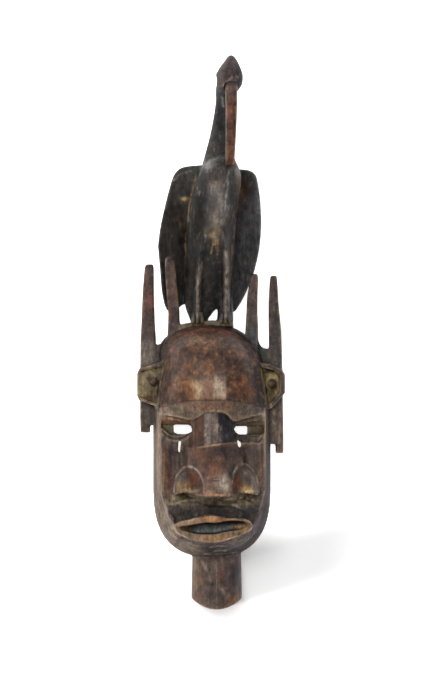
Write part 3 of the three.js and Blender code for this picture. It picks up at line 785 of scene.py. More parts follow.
points, quads = skin(wood)
millimetre = 0.001
mesh = bpy.data.meshes.new("ntomo_mask")
mesh.vertices.add(len(points))
mesh.vertices.foreach_set("co", (points * millimetre).astype(np.float32).ravel())
mesh.loops.add(len(quads) * 4)
mesh.loops.foreach_set("vertex_index", quads.astype(np.int32).ravel())
mesh.polygons.add(len(quads))
mesh.polygons.foreach_set("loop_start", np.arange(0, len(quads) * 4, 4, dtype=np.int32))
mesh.update(calc_edges=True)
mask = set_out("ntomo_mask", mesh)

# the front's points weigh nearly 1, so that the hollow and the back are thinned before them
triangle_limit, front_weight, front_care = 195000, 0.9, 0.00001
facing = np.zeros(len(points) * 3)
mesh.vertices.foreach_get("normal", facing)
front = (facing[2::3] > -0.25) & (part_share(points, HOLLOW) < 0.5) & (points[:, 2] > 2)
seen = mask.vertex_groups.new(name="front")
seen.add(np.flatnonzero(front).tolist(), front_weight, "REPLACE")
thinner = mask.modifiers.new("thinner", "DECIMATE")
thinner.ratio = min(1, triangle_limit / (2 * len(quads)))
thinner.vertex_group, thinner.invert_vertex_group = "front", True
thinner.vertex_group_factor = front_care
finished = bpy.data.meshes.new_from_object(mask.evaluated_get(bpy.context.evaluated_depsgraph_get()))
mask.modifiers.clear()
mask.vertex_groups.clear()
mask.data = finished
finished.shade_smooth()
at = np.zeros(len(finished.vertices) * 3)
finished.vertices.foreach_get("co", at)
at = at.reshape(-1, 3) / millimetre

# The stain and the wear
# The wood was stained nearly black and handled for years. It has gone brown where hands and light reach,
# golden where edges are rubbed bare, and olive where dust lies in the hollows. Some light and shade is
# painted
# in as well: highlights on the forehead, nose, lids and bird, and shade in the creases, the recesses and down
# the right-hand sides. Laid on point by point.


def box_blur(field, reach):
    """Two running means along each axis, over the given number of grid points to either side."""
    width = 2 * reach + 1
    for axis in (0, 1, 2, 0, 1, 2):
        pad = [(reach + 1, reach) if a == axis else (0, 0) for a in range(3)]
        total = np.cumsum(np.pad(field, pad, mode="edge"), axis=axis, dtype=np.float64)
        upper, lower = [slice(None)] * 3, [slice(None)] * 3
        upper[axis], lower[axis] = slice(width, None), slice(None, -width)
        field = ((total[tuple(upper)] - total[tuple(lower)]) / width).astype(np.float32)
    return field


x, y, z = at.T
wood_there = share_of(0.5 - wood.depth / (2 * grid_step))
near, wide = (sample(box_blur(wood_there, reach), at) for reach in (1, 4))
arris_wear = share_of((0.47 - near) * 7)
crease_shade = share_of((near - 0.53) * 7)
deep = share_of((wide - 0.54) * 4)


def cloud(size, seed, stretch=1.0):
    """Smooth random variation, about -1 to 1, of the given size in mm and drawn out along the grain."""
    lattice = np.random.default_rng(seed).uniform(-1.6, 1.6, (40, 40, 40))
    place = at / (size, size * stretch, size)
    first = np.floor(place).astype(int)
    return between(lattice, first, ease(0, 1, place - first))


wander_x = x + 2.6 * cloud(9, 1) + 1.3 * cloud(4, 2)
wander_y = y + 3.4 * cloud(11, 3) + 1.5 * cloud(4.5, 4)
streaks = cloud(2.4, 5, 9) + 0.6 * cloud(1.5, 6, 6)
mottles = cloud(7, 7) + 0.7 * cloud(3.2, 8)


def tone(red, green, blue):
    """A colour as the eye reads it on a screen, 0 to 255, in the linear values that light works on."""
    return np.array([red, green, blue]) ** 2.2 / 255**2.2


def band(value, start, end, blend=1.5):
    return ease(start - blend, start + blend, value) * ease(end + blend, end - blend, value)


def stroke(points, width, count=40):
    """A line drawn with an unsteady hand."""
    off = off_line(smooth_line(points, count), mix(x, wander_x, 0.25), mix(y, wander_y, 0.25))
    return bump(off / width) * share_of(0.8 + 0.5 * mottles)


def spot(centre_x, centre_y, across, along):
    wander = min(1, min(across, along) / 8)
    off_x, off_y = mix(x, wander_x, wander) - centre_x, mix(y, wander_y, wander) - centre_y
    return bump(np.hypot(off_x / across, off_y / along))


# The colour laid on each point: the wood's stain, wear and dust, and painted highlights and painted shade.
stain_and_light = np.tile(tone(70, 55, 49), (len(x), 1))


def lay(amount, *colour):
    """A colour over the stain, where the amount is above 0."""
    stain_and_light[:] += (tone(*colour) - stain_and_light) * share_of(amount)[:, None]


def dab(area, share, *dabs):
    """Soft spots on one area, each as (x, y, half across, half along, red, green, blue)."""
    for centre_x, centre_y, across, along, *colour in dabs:
        lay(area * share * spot(centre_x, centre_y, across, along) * 1.25, *colour)


def draw(area, share, width, colour, *lines):
    """Lines on one area, all of one width and colour: scratches, rubbed edges and some painted highlights."""
    for points in lines:
        lay(area * share * stroke(points, width), *colour)


face_part, hollow_part, stub_part, horn_part, ear_part, cup_part, bird_part, bill_part = (
    part_share(at, part) for part in (FACE, HOLLOW, STUB, HORN, EAR, EAR_CUP, BIRD, BILL)
)
lay(hollow_part, 60, 46, 38)

# forehead and brow band
on_face = np.maximum(face_part, hollow_part * (z > 40))
above_brow = on_face * ease(-1, 1, y - brow_edge(x))
brow_band = on_face * band(y, brow_lower(x), brow_edge(x), 0.8)
lay(above_brow, 90, 64, 52)
lay(above_brow * ease(-48, -60, x), 70, 53, 46)
lay(above_brow * ease(48, 58, x), 54, 49, 50)
# Among these dabs, the dark one at (-54, -17) is painted shade in the gap beside the horn's root.
dab(
    above_brow, 0.75,
    (-45, -58, 12, 24, 108, 80, 62), (-4, -44, 16, 6, 134, 84, 44), (-26, -70, 11, 14, 134, 84, 48),
    (-14, -26, 9, 6, 76, 56, 50), (20, -36, 12, 7, 56, 42, 42),
    (23, -52, 4, 16, 58, 40, 36), (38, -68, 15, 13, 92, 58, 44), (40, -60, 4, 5, 128, 84, 54),
    (47, -72, 4, 6, 124, 80, 50), (27, -14, 15, 9, 92, 76, 70), (50, -40, 6, 20, 88, 72, 64),
    (0, 2, 26, 5, 92, 56, 42), (-54, -17, 14, 15, 44, 41, 41), (-40, -28, 12, 14, 94, 64, 50),
    (-12, -13, 24, 6, 124, 98, 80),
    (48, -14, 12, 10, 60, 56, 57), (56, -50, 6, 24, 48, 42, 44), (-58, -60, 6, 24, 66, 52, 46),
)
# Painted shade along the steep edge of the crown.
lay(above_brow * ease(0.9, 0.97, outward(x, y) + 0.05 * (x > 0)), 36, 34, 32)
draw(above_brow, 0.5, 2.4, (126, 102, 80), [(-26, -9), (-4, -6), (18, -10)])
middle_glow = bump(np.hypot((wander_x - 4) / 48, (wander_y + 56) / 30))
speckles = 0.5 * mottles + 0.75 * cloud(2.9, 9) + 0.5 * cloud(1.8, 10)
lay(above_brow * ease(0, 1.3, speckles) * (0.08 + 0.6 * middle_glow), 170, 116, 62)
lay(above_brow * ease(0, -1.3, speckles) * 0.6, 50, 36, 32)
# Painted highlights: two pale patches low on the forehead, with a darker gap between them.
painted_sheen = above_brow * ease(-50, -64, wander_y) * ease(-24, -16, x + 0.3 * (y + 80)) * ease(20, 17, x)
lay(painted_sheen * 0.65, 152, 112, 86)
dab(
    painted_sheen, 0.9, (-14, -70, 7, 13, 200, 164, 124), (11, -65, 7.5, 16, 216, 190, 160),
    (-2, -74, 5, 8, 136, 96, 74),
)
lay(brow_band, 136, 112, 94)
dab(
    brow_band, 0.7, (0, -90, 24, 5, 122, 80, 62), (-38, -97, 16, 5, 106, 99, 83),
    (-54, -95, 9, 6, 150, 120, 98), (56, -94, 14, 7, 70, 62, 62), (36, -96, 12, 6, 96, 86, 75),
)

# side strips and cheeks
low_face = on_face * ease(1, -1, y - brow_lower(x))
side_wall = on_face * (z < 63) * ease(0.8, 0.92, outward(x, y)) * ease(-60, -84, y)
lay(low_face, 106, 89, 81)
lay(low_face * ease(-60, -64, x) * ease(-232, -205, y), 128, 108, 90)
lay(side_wall, 114, 98, 86)
# Painted shade: the walls on the right are darker, as if lit from the left.
lay(side_wall * ease(-20, 20, x), 70, 62, 60)
dab(
    low_face, 0.8,
    (-48, -150, 5, 14, 74, 60, 64), (-54, -164, 3.5, 18, 122, 86, 62), (-51, -184, 3, 16, 110, 62, 44),
    (-57, -176, 1.6, 24, 158, 106, 64), (61, -172, 3, 12, 150, 108, 82), (54, -160, 5, 18, 94, 80, 72),
    (-56, -222, 9, 24, 124, 106, 90),
    (52, -236, 10, 14, 90, 82, 90), (24, -262, 14, 7, 86, 78, 84), (-26, -262, 14, 7, 136, 118, 100),
    (4, -264, 16, 5, 62, 55, 54), (-44, -243, 7, 9, 160, 140, 118), (36, -255, 9, 6, 126, 112, 104),
)
draw(
    low_face, 0.55, 0.7, (164, 150, 136), [(-2, -262.5), (10, -262), (22, -262.5)],
    [(4, -267.5), (18, -267.6)],
)
draw(low_face, 0.7, 1.0, (160, 154, 144), [(-8, -271.5), (8, -272.5), (32, -270)])

# nose
nose_area = low_face * band(x, -26, 37, 2) * band(y, nose_base_line(x), -98, 1)
upper_nose = nose_area * ease(-1, 1, y - nose_step_line(x))
lower_nose = nose_area - upper_nose
lay(upper_nose, 98, 70, 58)
# Painted light on the bridge: a pale left facet and pale streaks are painted highlights, and the dark right
# facet is painted shade.
lay(upper_nose * band(x, -8, -0.5, 1), 150, 138, 128)
lay(upper_nose * band(x, -0.5, 7.5, 1), 108, 86, 76)
lay(upper_nose * ease(-1, 1, x - 8 - 5.5 * ease(-106, -124, y)) * ease(28, 25.5, x), 42, 42, 49)
dab(
    upper_nose, 0.8, (9, -131, 4, 7, 124, 116, 112), (18, -116, 3, 4, 26, 28, 40),
    (21, -127, 5, 5, 58, 58, 60),
)
draw(upper_nose, 0.75, 0.9, (176, 162, 148), [(0.5, -99), (0.2, -108), (1, -118)])
draw(upper_nose, 0.7, 0.8, (160, 150, 142), [(7, -107.5), (10, -115), (12.2, -123), (12.4, -132)])
lay(lower_nose, 98, 73, 63)
# The pale dab at (16, -183) is a painted highlight on the nose's tip.
dab(
    lower_nose, 0.9,
    (18, -145, 15, 7, 58, 45, 46), (26, -166, 6, 12, 52, 43, 43), (-14, -150, 8, 12, 114, 76, 57),
    (5, -166, 6, 10, 130, 82, 58), (-3, -188, 8, 9, 158, 124, 104), (16, -183, 6.5, 11, 178, 162, 144),
    (-20, -165, 5, 10, 66, 52, 46), (6, -198, 16, 1.4, 214, 156, 116),
)
draw(low_face, 0.5, 0.8, (160, 140, 116), [(34.6, -141.5), (36, -150), (37, -157), (38.8, -161.7)])

# the recess under the nose, laid dark as painted shade, and the olive dust under the nostrils
undercut = low_face * band(y, -211, nose_base_line(x), 1) * ease(60, 54, np.abs(x - 4))
from_recess_edge = np.abs(x - recess_x) - recess_half + 10 * ease(-222, -238, y)
recess = low_face * band(y, lip_top(x), -211, 1.2) * ease(1.5, -1, from_recess_edge)
lay(undercut, 126, 114, 98)
lay(recess, 80, 74, 69)
dab(
    recess, 0.8, (10, -220, 26, 5, 56, 53, 54), (-38, -216, 14, 6, 92, 84, 78), (44, -221, 12, 5, 44, 45, 52),
)
# These olive dabs are dust, made pale enough to lift the shade under the nostrils: partly painted light.
dab(
    undercut, 0.8, (-42, -206, 12, 3.4, 138, 122, 92), (42, -205, 14, 3, 124, 112, 88),
    (-34, -199, 12, 3, 150, 136, 104), (40, -199, 12, 3, 136, 122, 96),
    (6, -203, 12, 3, 82, 60, 49),
)
draw(
    low_face, 0.9, 1.1, (182, 168, 138), [(-50, -210), (-38, -207), (-27, -205)],
    [(8, -209.5), (20, -210), (31, -210.5)], [(-46, -203), (-36, -201.5), (-30, -199.5)],
    [(36, -203), (47, -204.5), (58, -205.5)], [(14, -203), (22, -204), (30, -202.5)],
)
# The bright cream dabs at the nostrils' feet are painted highlights.
nostril_dabs = [
    [(-32, -188, 11, 6, 150, 112, 66), (-26, -192.4, 7, 2.2, 240, 214, 168), (-22, -178, 7, 7, 110, 66, 50),
        (-34, -178, 5, 5, 92, 80, 72)],
    [(44, -190, 6, 5, 206, 168, 104), (46, -193.5, 7, 1.6, 240, 214, 168), (33, -181, 6, 7, 126, 76, 50),
        (53, -184, 4, 9, 106, 94, 88), (42, -172, 6, 5, 100, 88, 80)],
]
for wing, dabs in zip(nostrils, nostril_dabs):
    inside = low_face * ease(1.02, 0.9, arch(wing, x, y)) * ease(-200, -196, y)
    lay(inside, 80, 65, 58)
    dab(inside, 0.8, *dabs)
    on_arch = bump((arch(wing, x, y) - 1.02) * wing["across"] / 0.85) * ease(-199, -192, y)
    faded = 1 - 0.8 * beside_nose(wing, x, y)
    lay(low_face * on_arch * faded * np.clip(0.6 + 0.4 * mottles, 0, 0.85), 170, 154, 138)

# eyes
# The upper lids are laid lighter where light falls on them, most in the left eye, and the crescent on each
# lower lid is a painted highlight.
for eye, lid, ball, lid_highlight in (
    (eyes[0], (156, 116, 94), (130, 116, 82), (150, 132, 122)),
    (eyes[1], (112, 96, 84), (100, 87, 70), (96, 90, 90)),
):
    low = eye_bottom(eye, x)
    socket = low_face * band(x, eye["left"], eye["right"], 0.8) * band(y, low, brow_lower(x), 0.6)
    lay(socket, 74, 64, 58)
    lay(socket * (y > eye["lid"]), *lid)
    lay(socket * (z < 60) * (y < eye["lid"]), *ball)
    lay(socket * bump((y - low - 3.8) / 1.7) * 0.8, *lid_highlight)
    edge_of_socket = np.abs(y - low) + 50 * (1 - band(x, eye["left"], eye["right"], 0.8))
    lay(low_face * bump(edge_of_socket / 1.2) * 0.5, 146, 128, 100)
# The pale patch on the left lid is painted light that lifts the shade in the deep socket.
dab(low_face, 0.9, (56, -116, 5, 3.6, 150, 130, 96), (-54, -107, 9, 4, 182, 142, 112))
lay(nose_area * bump((y - nose_step_line(x)) / 1.1) * band(x, -15, 12, 3), 178, 150, 118)

# mouth
inside_edge = np.minimum(lip_top(x) - y, y - lip_bottom(x))
lip_area = low_face * ease(-0.6, 0.6, inside_edge) * (np.abs(x - mouth_x) < mouth_half)
lay(lip_area, 160, 131, 106)
dab(
    lip_area, 0.8,
    (1, -228, 17, 5, 194, 134, 80), (16, -229, 8, 3, 170, 120, 80), (6, -251, 20, 4.5, 172, 130, 82),
    (-30, -246, 10, 5, 146, 126, 104), (38, -244, 7, 4, 140, 106, 64), (46, -236, 4, 6, 132, 92, 72),
)
# Painted shade inside the mouth: its floor is laid grey like a shaded opening, with the upper lip's painted
# shadow along its top and a dark line under the lower lip.
in_mouth = lip_area * ease(-0.6, 0.8, inside_lips(x, y))
lay(in_mouth, 114, 118, 118)
dab(in_mouth, 0.8, (5, -241.5, 20, 2.6, 142, 146, 138))
lay(in_mouth * ease(-236.5, -233.5, y), 60, 46, 36)
lay(in_mouth * bump((y - inner_bottom(x) - 0.6) / 1.0), 30, 26, 24)
lay(in_mouth * ease(-21, -24, x), 118, 100, 76)
lay(in_mouth * ease(25, 28, x), 104, 84, 62)
# The dark dab at (34, -231.5) is painted shade under the upper lip.
dab(
    lip_area, 0.9, (-29, -236.6, 4.5, 1.8, 192, 162, 120), (35, -236.8, 6, 2.2, 214, 186, 146),
    (34, -231.5, 12, 2, 58, 50, 44),
)
lip_border = np.abs(inside_edge) + 50 * (np.abs(x - mouth_x) > mouth_half)
lay(low_face * bump(lip_border / 0.9) * np.clip(0.6 + 0.45 * mottles, 0, 0.9), 214, 178, 140)

# neck stub
lay(stub_part, 104, 87, 79)
dab(
    stub_part, 0.8,
    (-18, -300, 7, 26, 112, 86, 62), (30, -296, 7, 30, 64, 53, 56), (12, -310, 9, 14, 78, 60, 58),
    (28, -330, 8, 7, 134, 94, 60), (-20, -328, 7, 8, 120, 76, 46), (10, -300, 6, 6, 108, 66, 48),
)
draw(
    stub_part, 0.4, 2.4, (156, 140, 126), [(-4, -270), (4, -284), (8, -300)],
    [(-12, -282), (-4, -296), (0, -312)], [(8, -304), (14, -316), (20, -324)],
)

# horns and ears
left_bar, right_bar = horn_part * ease(-62, -68, x), horn_part * ease(62, 68, x)
lay(horn_part, 86, 70, 64)
lay(horn_part * ease(55, 85, x), 70, 63, 60)
lay(horn_part * ease(10, -40, y) * ease(56, 66, np.abs(x)), 84, 76, 70)
lay(horn_part * band(x, 38, 66, 4) * ease(22, -6, y), 68, 70, 70)
lay(left_bar * band(y, -40, -10, 6) * ease(-66, -72, x), 118, 106, 96)
lay(left_bar * ease(-86, -96, y), 90, 79, 72)
lay(right_bar * ease(-84, -94, y), 110, 95, 85)
lay(right_bar * ease(82, 86, x) * ease(-30, -10, y), 96, 88, 84)
draw(right_bar, 0.6, 1.2, (160, 138, 112), [(77, -96), (77, -118), (77.5, -142)], [(84.5, -96), (84.5, -140)])
dab(
    horn_part, 0.7, (-77, 40, 5, 20, 112, 70, 56), (-47, 55, 4, 24, 104, 72, 60), (-52, 20, 4, 8, 92, 58, 46),
    (-51, 88, 4, 5, 48, 42, 42), (76, 52, 4, 10, 90, 66, 60),
)
lay(ear_part, 88, 72, 60)
lay(cup_part, 158, 142, 114)
lay(cup_part * ease(0, -1.2, mottles) * 0.7, 80, 68, 56)
lay(cup_part * ease(0.2, 1.2, mottles) * 0.6, 184, 168, 118)
dab(
    ear_part, 0.7,
    (-86, -66, 5, 18, 130, 106, 82), (-72, -88, 12, 4, 126, 102, 82), (-72, -40, 12, 4, 112, 92, 86),
    (84, -55, 2.5, 8, 110, 78, 62), (88, -60, 3, 14, 98, 88, 90),
)
# The dark dabs at (75, -43.5) and (79, -83) are painted shadows under the cup's rims.
dab(
    cup_part, 0.9, (-66, -73, 6, 7, 92, 72, 56), (-74, -81, 8, 5, 98, 72, 50), (75, -43.5, 6, 3, 42, 38, 34),
    (79, -83, 6, 3, 46, 40, 38), (72, -72, 8, 6, 62, 50, 42), (60, -56, 4, 10, 188, 158, 92),
    (68, -82, 8, 3, 150, 126, 78),
)
knob_ring = cup_part * bump((np.hypot(wander_x - 75, wander_y + 61) - 8) / 2)
lay(knob_ring * 0.6, 200, 172, 104)
draw(ear_part, 0.7, 1.0, (196, 160, 136), [(-88, -77), (-80, -84), (-70, -88.5)])

# bird
left_line = [(-17.3, 195), (-22.7, 178), (-26.5, 155), (-28, 138), (-31.1, 116), (-31.1, 93), (-33, 60)]
right_line = [(37, 186), (33.7, 160), (31.4, 142), (28.5, 119), (25.8, 96), (25, 51)]
body_left, body_right = (np.interp(-y, [-at_y for _, at_y in line], [at_x for at_x, _ in line])
                         for line in (left_line, right_line))
on_body = bird_part * band(x, body_left, body_right, 2)
lay(bird_part, 70, 66, 62)
lay(bird_part * ease(0, 30, x), 74, 73, 74)
lay(on_body * band(y, 60, 210, 12), 60, 56, 53)
# The dark dabs down the body's sides and low between the legs are painted shade; the pale ones at the breast
# and down the middle are painted sheen among scratches.
dab(
    on_body, 0.85,
    (-16, 150, 10, 50, 24, 21, 19), (27, 150, 6, 46, 46, 44, 44), (-12, 186, 6, 14, 44, 42, 42),
    (-6, 207, 9, 8, 118, 116, 114), (9, 182, 7, 10, 134, 120, 110), (12, 160, 5, 12, 142, 132, 122),
    (7, 140, 9, 10, 130, 118, 106), (5, 122, 8, 8, 142, 122, 96), (8, 60, 8, 34, 40, 38, 38),
)
# The pale dabs at (57, 155) and (33, 198) are painted sheen, and the dark one at (-36, 112) is painted shade
# between wing and body.
dab(
    bird_part, 0.85,
    (-33, 164.5, 3.4, 2.2, 250, 214, 154), (-36, 112, 5, 30, 42, 39, 38), (57, 155, 4, 34, 100, 100, 104),
    (38.6, 176, 3, 9, 134, 100, 60), (44, 176, 9, 14, 66, 58, 52), (-45, 60, 7, 26, 58, 58, 56),
    (33, 198, 3, 8, 128, 124, 120), (8, 262, 5, 30, 42, 42, 44), (20, 322, 8, 14, 84, 70, 67),
    (14, 308, 5, 9, 84, 66, 60), (34, 318, 5, 12, 52, 46, 46),
)
draw(bird_part * ease(84, 128, y), 0.9, 0.85, (204, 168, 128), left_line)
draw(bird_part, 0.5, 0.8, (150, 122, 92), left_line[3:])
draw(bird_part, 0.65, 0.8, (142, 104, 70), right_line)
# Painted highlights along the keel and the left wing's rim.
draw(
    bird_part, 0.8, 0.8, (160, 158, 154), [(22.5, 203), (20.2, 178), (17.2, 150)],
    [(-46, 186), (-35, 197), (-24, 200)],
)
draw(bird_part, 0.7, 1.6, (112, 74, 50), [(-41, 148), (-38.5, 135), (-36.5, 120)])
draw(
    bird_part, 0.75, 0.8, (176, 144, 98), [(1, 118), (1.5, 106), (-0.5, 97)], [(6, 117), (6, 100)],
    [(9.5, 114), (7.6, 95)], [(3.5, 122), (3.5, 108)],
)
# Painted highlights: pale lines on the left leg and the hood, sheen down both legs, and the hood's lit arch.
draw(bird_part, 0.8, 1.1, (138, 138, 138), [(-7, 120), (-11, 92)], [(13, 288), (15, 278)])
draw(
    bird_part, 0.85, 2.8, (152, 136, 122), [(-12.5, 84), (-16, 54), (-16.6, 22)],
    [(17.8, 98), (18.9, 60), (18.2, 22)],
)
draw(bird_part, 0.8, 1.3, (168, 146, 138), [(15.5, 303), (22.3, 310), (28.4, 314.5), (33, 312)])
lay(bird_part * ease(0, 12, z - 40) * ease(20, 12, y) * 0.8, 124, 108, 80)
# Pale streaks on the belly: scratches with painted sheen.
lay(on_body * band(y, 112, 205, 12) * ease(0.6, 1.8, streaks) * 0.5, 150, 138, 126)
lay(bill_part, 114, 72, 55)
# Painted shade: the bill is darker where it runs under the hood.
lay(bill_part * ease(280, 300, y), 84, 64, 56)
lay(bill_part * ease(0, -1.2, mottles) * 0.3, 66, 44, 38)
lay(bill_part * ease(20, 18.5, x - 0.012 * (240 - y)) * 0.9, 60, 62, 56)
lay(bill_part * ease(30, 31.5, x - 0.02 * (y - 240)) * 0.7, 56, 39, 35)

# grain, dirt and painted shade in the creases and hollows, and bare wood on the arrises
grained = share_of(low_face - lip_area - 0.5 * lower_nose + horn_part + 0.6 * ear_part + 0.4 * stub_part)
stain_and_light *= (1 + grained * np.clip(0.24 * streaks, -0.5, 0.6))[:, None]
stain_and_light *= (1 + np.clip(0.2 * mottles, -0.45, 0.6))[:, None]
calm = 1 - 0.7 * on_face * bump((y - brow_edge(x)) / 2.5) * ease(20, 30, np.abs(x - 2))
calm *= 1 - 0.8 * on_face * ease(12, 4, np.abs(from_recess_edge)) * band(y, -236, -207, 4)
# Painted shade, with dirt, darkens the creases and the broad hollows.
lay(crease_shade * 0.65 * calm, 32, 27, 24)
lay(deep * 0.3, 32, 27, 24)
worn = arris_wear * calm * np.clip(0.45 + 0.5 * mottles, 0, 0.85)
lay(worn * (1 - bird_part), 176, 146, 110)
lay(worn * bird_part * 0.5, 128, 122, 114)
brow_arris = on_face * bump((y - brow_lower(x) - 1.0) / 1.1) * ease(67, 64, np.abs(x))
lay(brow_arris * share_of(0.75 + 0.3 * mottles), 184, 164, 136)
draw(
    low_face, 0.75, 0.9, (172, 152, 124), [(27, -108), (45, -103.8), (64, -99.6)],
    [(65, -101.5), (64.5, -112), (65.5, -120.5), (61, -127.7), (57, -132.8), (47.7, -134.8), (36.4, -135.3)],
    [(-60, -124), (-52, -131), (-42, -134), (-32, -131), (-25, -126)],
)
draw(
    np.minimum(ear_part + cup_part + on_face, 1), 0.7, 1.0, (176, 158, 128),
    [(-58.8, -34.5), (-61.5, -43.5), (-63.8, -59.5), (-67.6, -71), (-68.3, -90)],
    [(61.5, -39), (66.3, -48), (68.5, -64.5), (71.2, -79), (73, -92)],
)
draw(
    on_face, 0.6, 1.0, (168, 142, 112), [(-63.5, -98), (-64, -130), (-61.5, -160), (-58, -196), (-54, -214)],
    [(67, -100), (67.5, -128)],
)


def keep(name, values, kind="FLOAT", field="value"):
    """Stores a value for each point of the skin, for the finish to read."""
    layer = finished.attributes.new(name, kind, "POINT")
    layer.data.foreach_set(field, np.ascontiguousarray(values, np.float32).ravel())


keep("stain_and_light", np.column_stack([np.maximum(stain_and_light, 0), np.ones(len(x))]), "FLOAT_COLOR", "color")
half_mottled = 0.5 * low_face + 0.4 * horn_part + 0.6 * stub_part + 0.25 * bird_part
keep("mottled", share_of(above_brow + half_mottled))
crown_edge = above_brow * ease(0.66, 0.84, outward(x, y))
body_side = on_body * ease(10, 20, np.abs(x - 8)) + bird_part * ease(205, 225, y) * (1 - bill_part)
half_dry = 0.5 * low_face + 0.4 * horn_part + 0.4 * stub_part + 0.7 * body_side
keep("dry", share_of(cup_part + side_wall + crown_edge + recess + undercut + hollow_part + half_dry))

# The finish
# Stain rubbed with oil and soot: a dull shine on the high parts, a dry look in the dusty cups, and the
# upright grain of the plank under it all.


class Coat:
    """A value in the wood's node tree, for plain arithmetic. node() adds any other node."""

    def __init__(self, tree, socket=None):
        self.tree, self.socket = tree, socket

    def node(self, kind, inputs, output=0, **settings):
        added = self.tree.nodes.new("ShaderNode" + kind)
        for name, value in settings.items():
            setattr(added, name, value)
        for place, value in inputs.items():
            if isinstance(value, Coat):
                self.tree.links.new(value.socket, added.inputs[place])
            else:
                added.inputs[place].default_value = value
        return Coat(self.tree, added.outputs[output])

    def maths(self, operation, *others):
        return self.node("Math", dict(enumerate([self, *others])), operation=operation)

    def __add__(self, other):
        return self.maths("ADD", other)

    def __sub__(self, other):
        return self.maths("SUBTRACT", other)

    def __rsub__(self, other):
        return (self * -1) + other

    def __mul__(self, other):
        return self.maths("MULTIPLY", other)

    def __abs__(self):
        return self.maths("ABSOLUTE")

    __radd__, __rmul__ = __add__, __mul__


finish = bpy.data.materials.new("stained_wood")
finish.use_nodes = True
coat = Coat(finish.node_tree)
shader = finish.node_tree.nodes["Principled BSDF"]
place = coat.node("TexCoord", {}, "Object")


def layer(name, output="Fac"):
    return coat.node("Attribute", {}, output, attribute_name=name)


def noise(scale, stretch=1.0, detail=4.0, rough=0.6):
    """Cloudy variation about 0, of roughly -1 to 1, drawn out along the grain."""
    stretched = coat.node("VectorMath", {0: place, 1: (1, 1 / stretch, 1)}, operation="MULTIPLY")
    settings = {"Vector": stretched, "Scale": scale, "Detail": detail, "Roughness": rough}
    return (coat.node("TexNoise", settings, "Fac") - 0.5) * 3


def threshold(value, start, end):
    return coat.node("MapRange", {0: value, 1: start, 2: end}, interpolation_type="SMOOTHSTEP")


def tint(amount, under, over):
    return coat.node("Mix", {0: amount, 6: under, 7: over}, 2, data_type="RGBA")


def multiply(under, value):
    return coat.node("VectorMath", {0: under, "Scale": value}, operation="SCALE")


mottled, dry = layer("mottled"), layer("dry")
blotches, patches = noise(55, 1.4, 5), noise(170, 1.5, 4)
grain, flecks = noise(330, 7.0, 3), noise(420, 1.3, 2)
red_brown, soot, bare_wood = (0.20, 0.095, 0.045, 1), (0.024, 0.017, 0.015, 1), (0.30, 0.24, 0.17, 1)
colour = layer("stain_and_light", "Color")
colour = tint(threshold(blotches, 0.1, 0.9) * mottled * 0.24, colour, red_brown)
colour = tint(threshold(blotches, -0.1, -0.9) * mottled * 0.32, colour, soot)
scratches = threshold(abs(noise(150, 3.5, 2)), 0.05, 0.0) * threshold(patches, -0.1, 0.5)
colour = tint(scratches * 0.45, colour, bare_wood)
value = 1 + blotches * 0.30 + patches * 0.5 + grain * 0.45 + flecks * 0.5
colour = multiply(colour, value)
roughness = 0.48 + grain * 0.08 + patches * 0.12 + dry * 0.42
relief = grain * 0.5 + flecks * 0.4 + patches * 0.6 + blotches * 0.6 - scratches * 0.4
bumped = coat.node("Bump", {"Strength": 0.5, "Distance": 0.0005, "Height": relief}, "Normal")
wax = (1 - dry) * 0.12
finished_with = {"Base Color": colour, "Roughness": roughness, "Normal": bumped, "Coat Weight": wax}
for socket, value in finished_with.items():
    finish.node_tree.links.new(value.socket, shader.inputs[socket])
shader.inputs["Specular IOR Level"].default_value = 0.35
shader.inputs["Coat Roughness"].default_value = 0.3
mask.data.materials.append(finish)
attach(mask, "root")
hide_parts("mask")

# The studio
# A white table seen from straight above. Two broad soft lights hang over the head, one beside the camera
# reaches the table through the eyes, and one stands low on the left. A low sun that lights only the table
# sweeps the shadow out to the right of the chin, and the rest of the table glows of itself.
floor_mesh = bpy.data.meshes.new("floor")
reach = 3
floor_corners = [(-reach, -reach, 0), (reach, -reach, 0), (reach, reach, 0), (-reach, reach, 0)]
floor_mesh.from_pydata(floor_corners, [], [(0, 1, 2, 3)])
floor = set_out("floor", floor_mesh)
white = bpy.data.materials.new("white_table")
white.use_nodes = True
table_coat = Coat(white.node_tree)
table_place = table_coat.node("TexCoord", {}, "Object")
across, along = (table_coat.node("SeparateXYZ", {0: table_place}, axis) for axis in "XY")
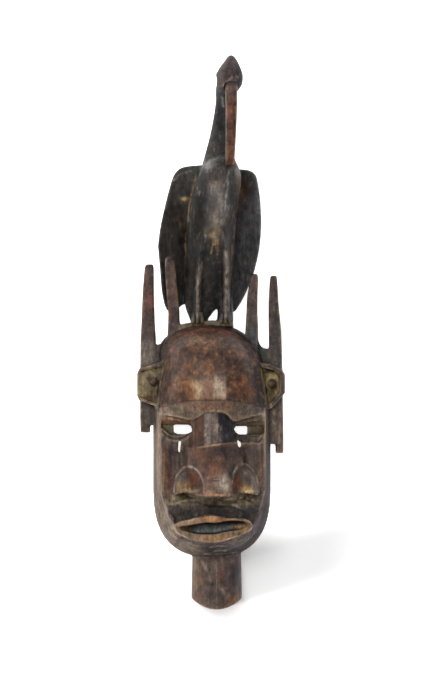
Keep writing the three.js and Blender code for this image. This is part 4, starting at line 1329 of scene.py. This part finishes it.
# The table's glow is painted light; it dims in a strip to the right of the chin, where the sun's shadow
# shows.
beyond = {0: along - across * 0.25, 1: -0.288, 2: -0.247, 3: 0.16, 4: 1.0}
glow = table_coat.node("MapRange", beyond, interpolation_type="SMOOTHSTEP")
table_shader = white.node_tree.nodes["Principled BSDF"]
white.node_tree.links.new(glow.socket, table_shader.inputs["Emission Color"])
table_shader.inputs["Base Color"].default_value = (0.9, 0.9, 0.9, 1)
table_shader.inputs["Roughness"].default_value = 1.0
table_shader.inputs["Emission Strength"].default_value = 0.85
floor_mesh.materials.append(white)

camera_data = bpy.data.cameras.new("camera")
camera = set_out("camera", camera_data)
bpy.context.scene.camera = camera
frame_width, frame_height = 432, 684
pixel = 1.225 * millimetre
camera_height, sharp_height, sensor = 10.0, 0.06, 24.0
origin_x, origin_y = 211.0, 332.5
camera_data.type = "PERSP"
camera_data.sensor_fit = "VERTICAL"
camera_data.sensor_height = sensor
camera_data.lens = sensor * (camera_height - sharp_height) / (frame_height * pixel)
camera.location = ((frame_width / 2 - origin_x) * pixel, (origin_y - frame_height / 2) * pixel, camera_height)
camera_data.clip_end = 30


face_middle = (0, 0, 0.05)


def area_light(name, power, size, place):
    data = bpy.data.lights.new(name, "AREA")
    data.shape = "RECTANGLE"
    data.energy, data.size, data.size_y = power, *size
    lamp = set_out(name, data)
    lamp.location = place
    lamp.rotation_euler = (Vector(face_middle) - Vector(place)).to_track_quat("-Z", "Y").to_euler()


area_light("left_box", 14, (0.6, 1.1), (-0.75, 0.55, 2.3))
area_light("right_box", 6, (0.6, 1.1), (0.5, 0.5, 2.3))
area_light("by_camera", 40, (0.8, 0.8), (0.05, 0.1, 8.5))
area_light("low_left", 6, (0.8, 0.5), (-2.0, 0.7, 1.1))
sweep_data = bpy.data.lights.new("sweep", "SUN")
sweep_data.energy, sweep_data.angle = 6.3, 0.22
sweep = set_out("sweep", sweep_data)
sweep.rotation_euler = Vector((0.94, 0.27, -0.2)).to_track_quat("-Z", "Y").to_euler()
table = bpy.data.collections.new("table")
table.objects.link(floor)
sweep.light_linking.receiver_collection = table
world = bpy.data.worlds.new("studio")
bpy.context.scene.world = world
world.use_nodes = True
background = world.node_tree.nodes["Background"].inputs
background["Color"].default_value, background["Strength"].default_value = (1, 1, 1, 1), 0.25
bpy.context.scene.view_settings.view_transform = "Standard"
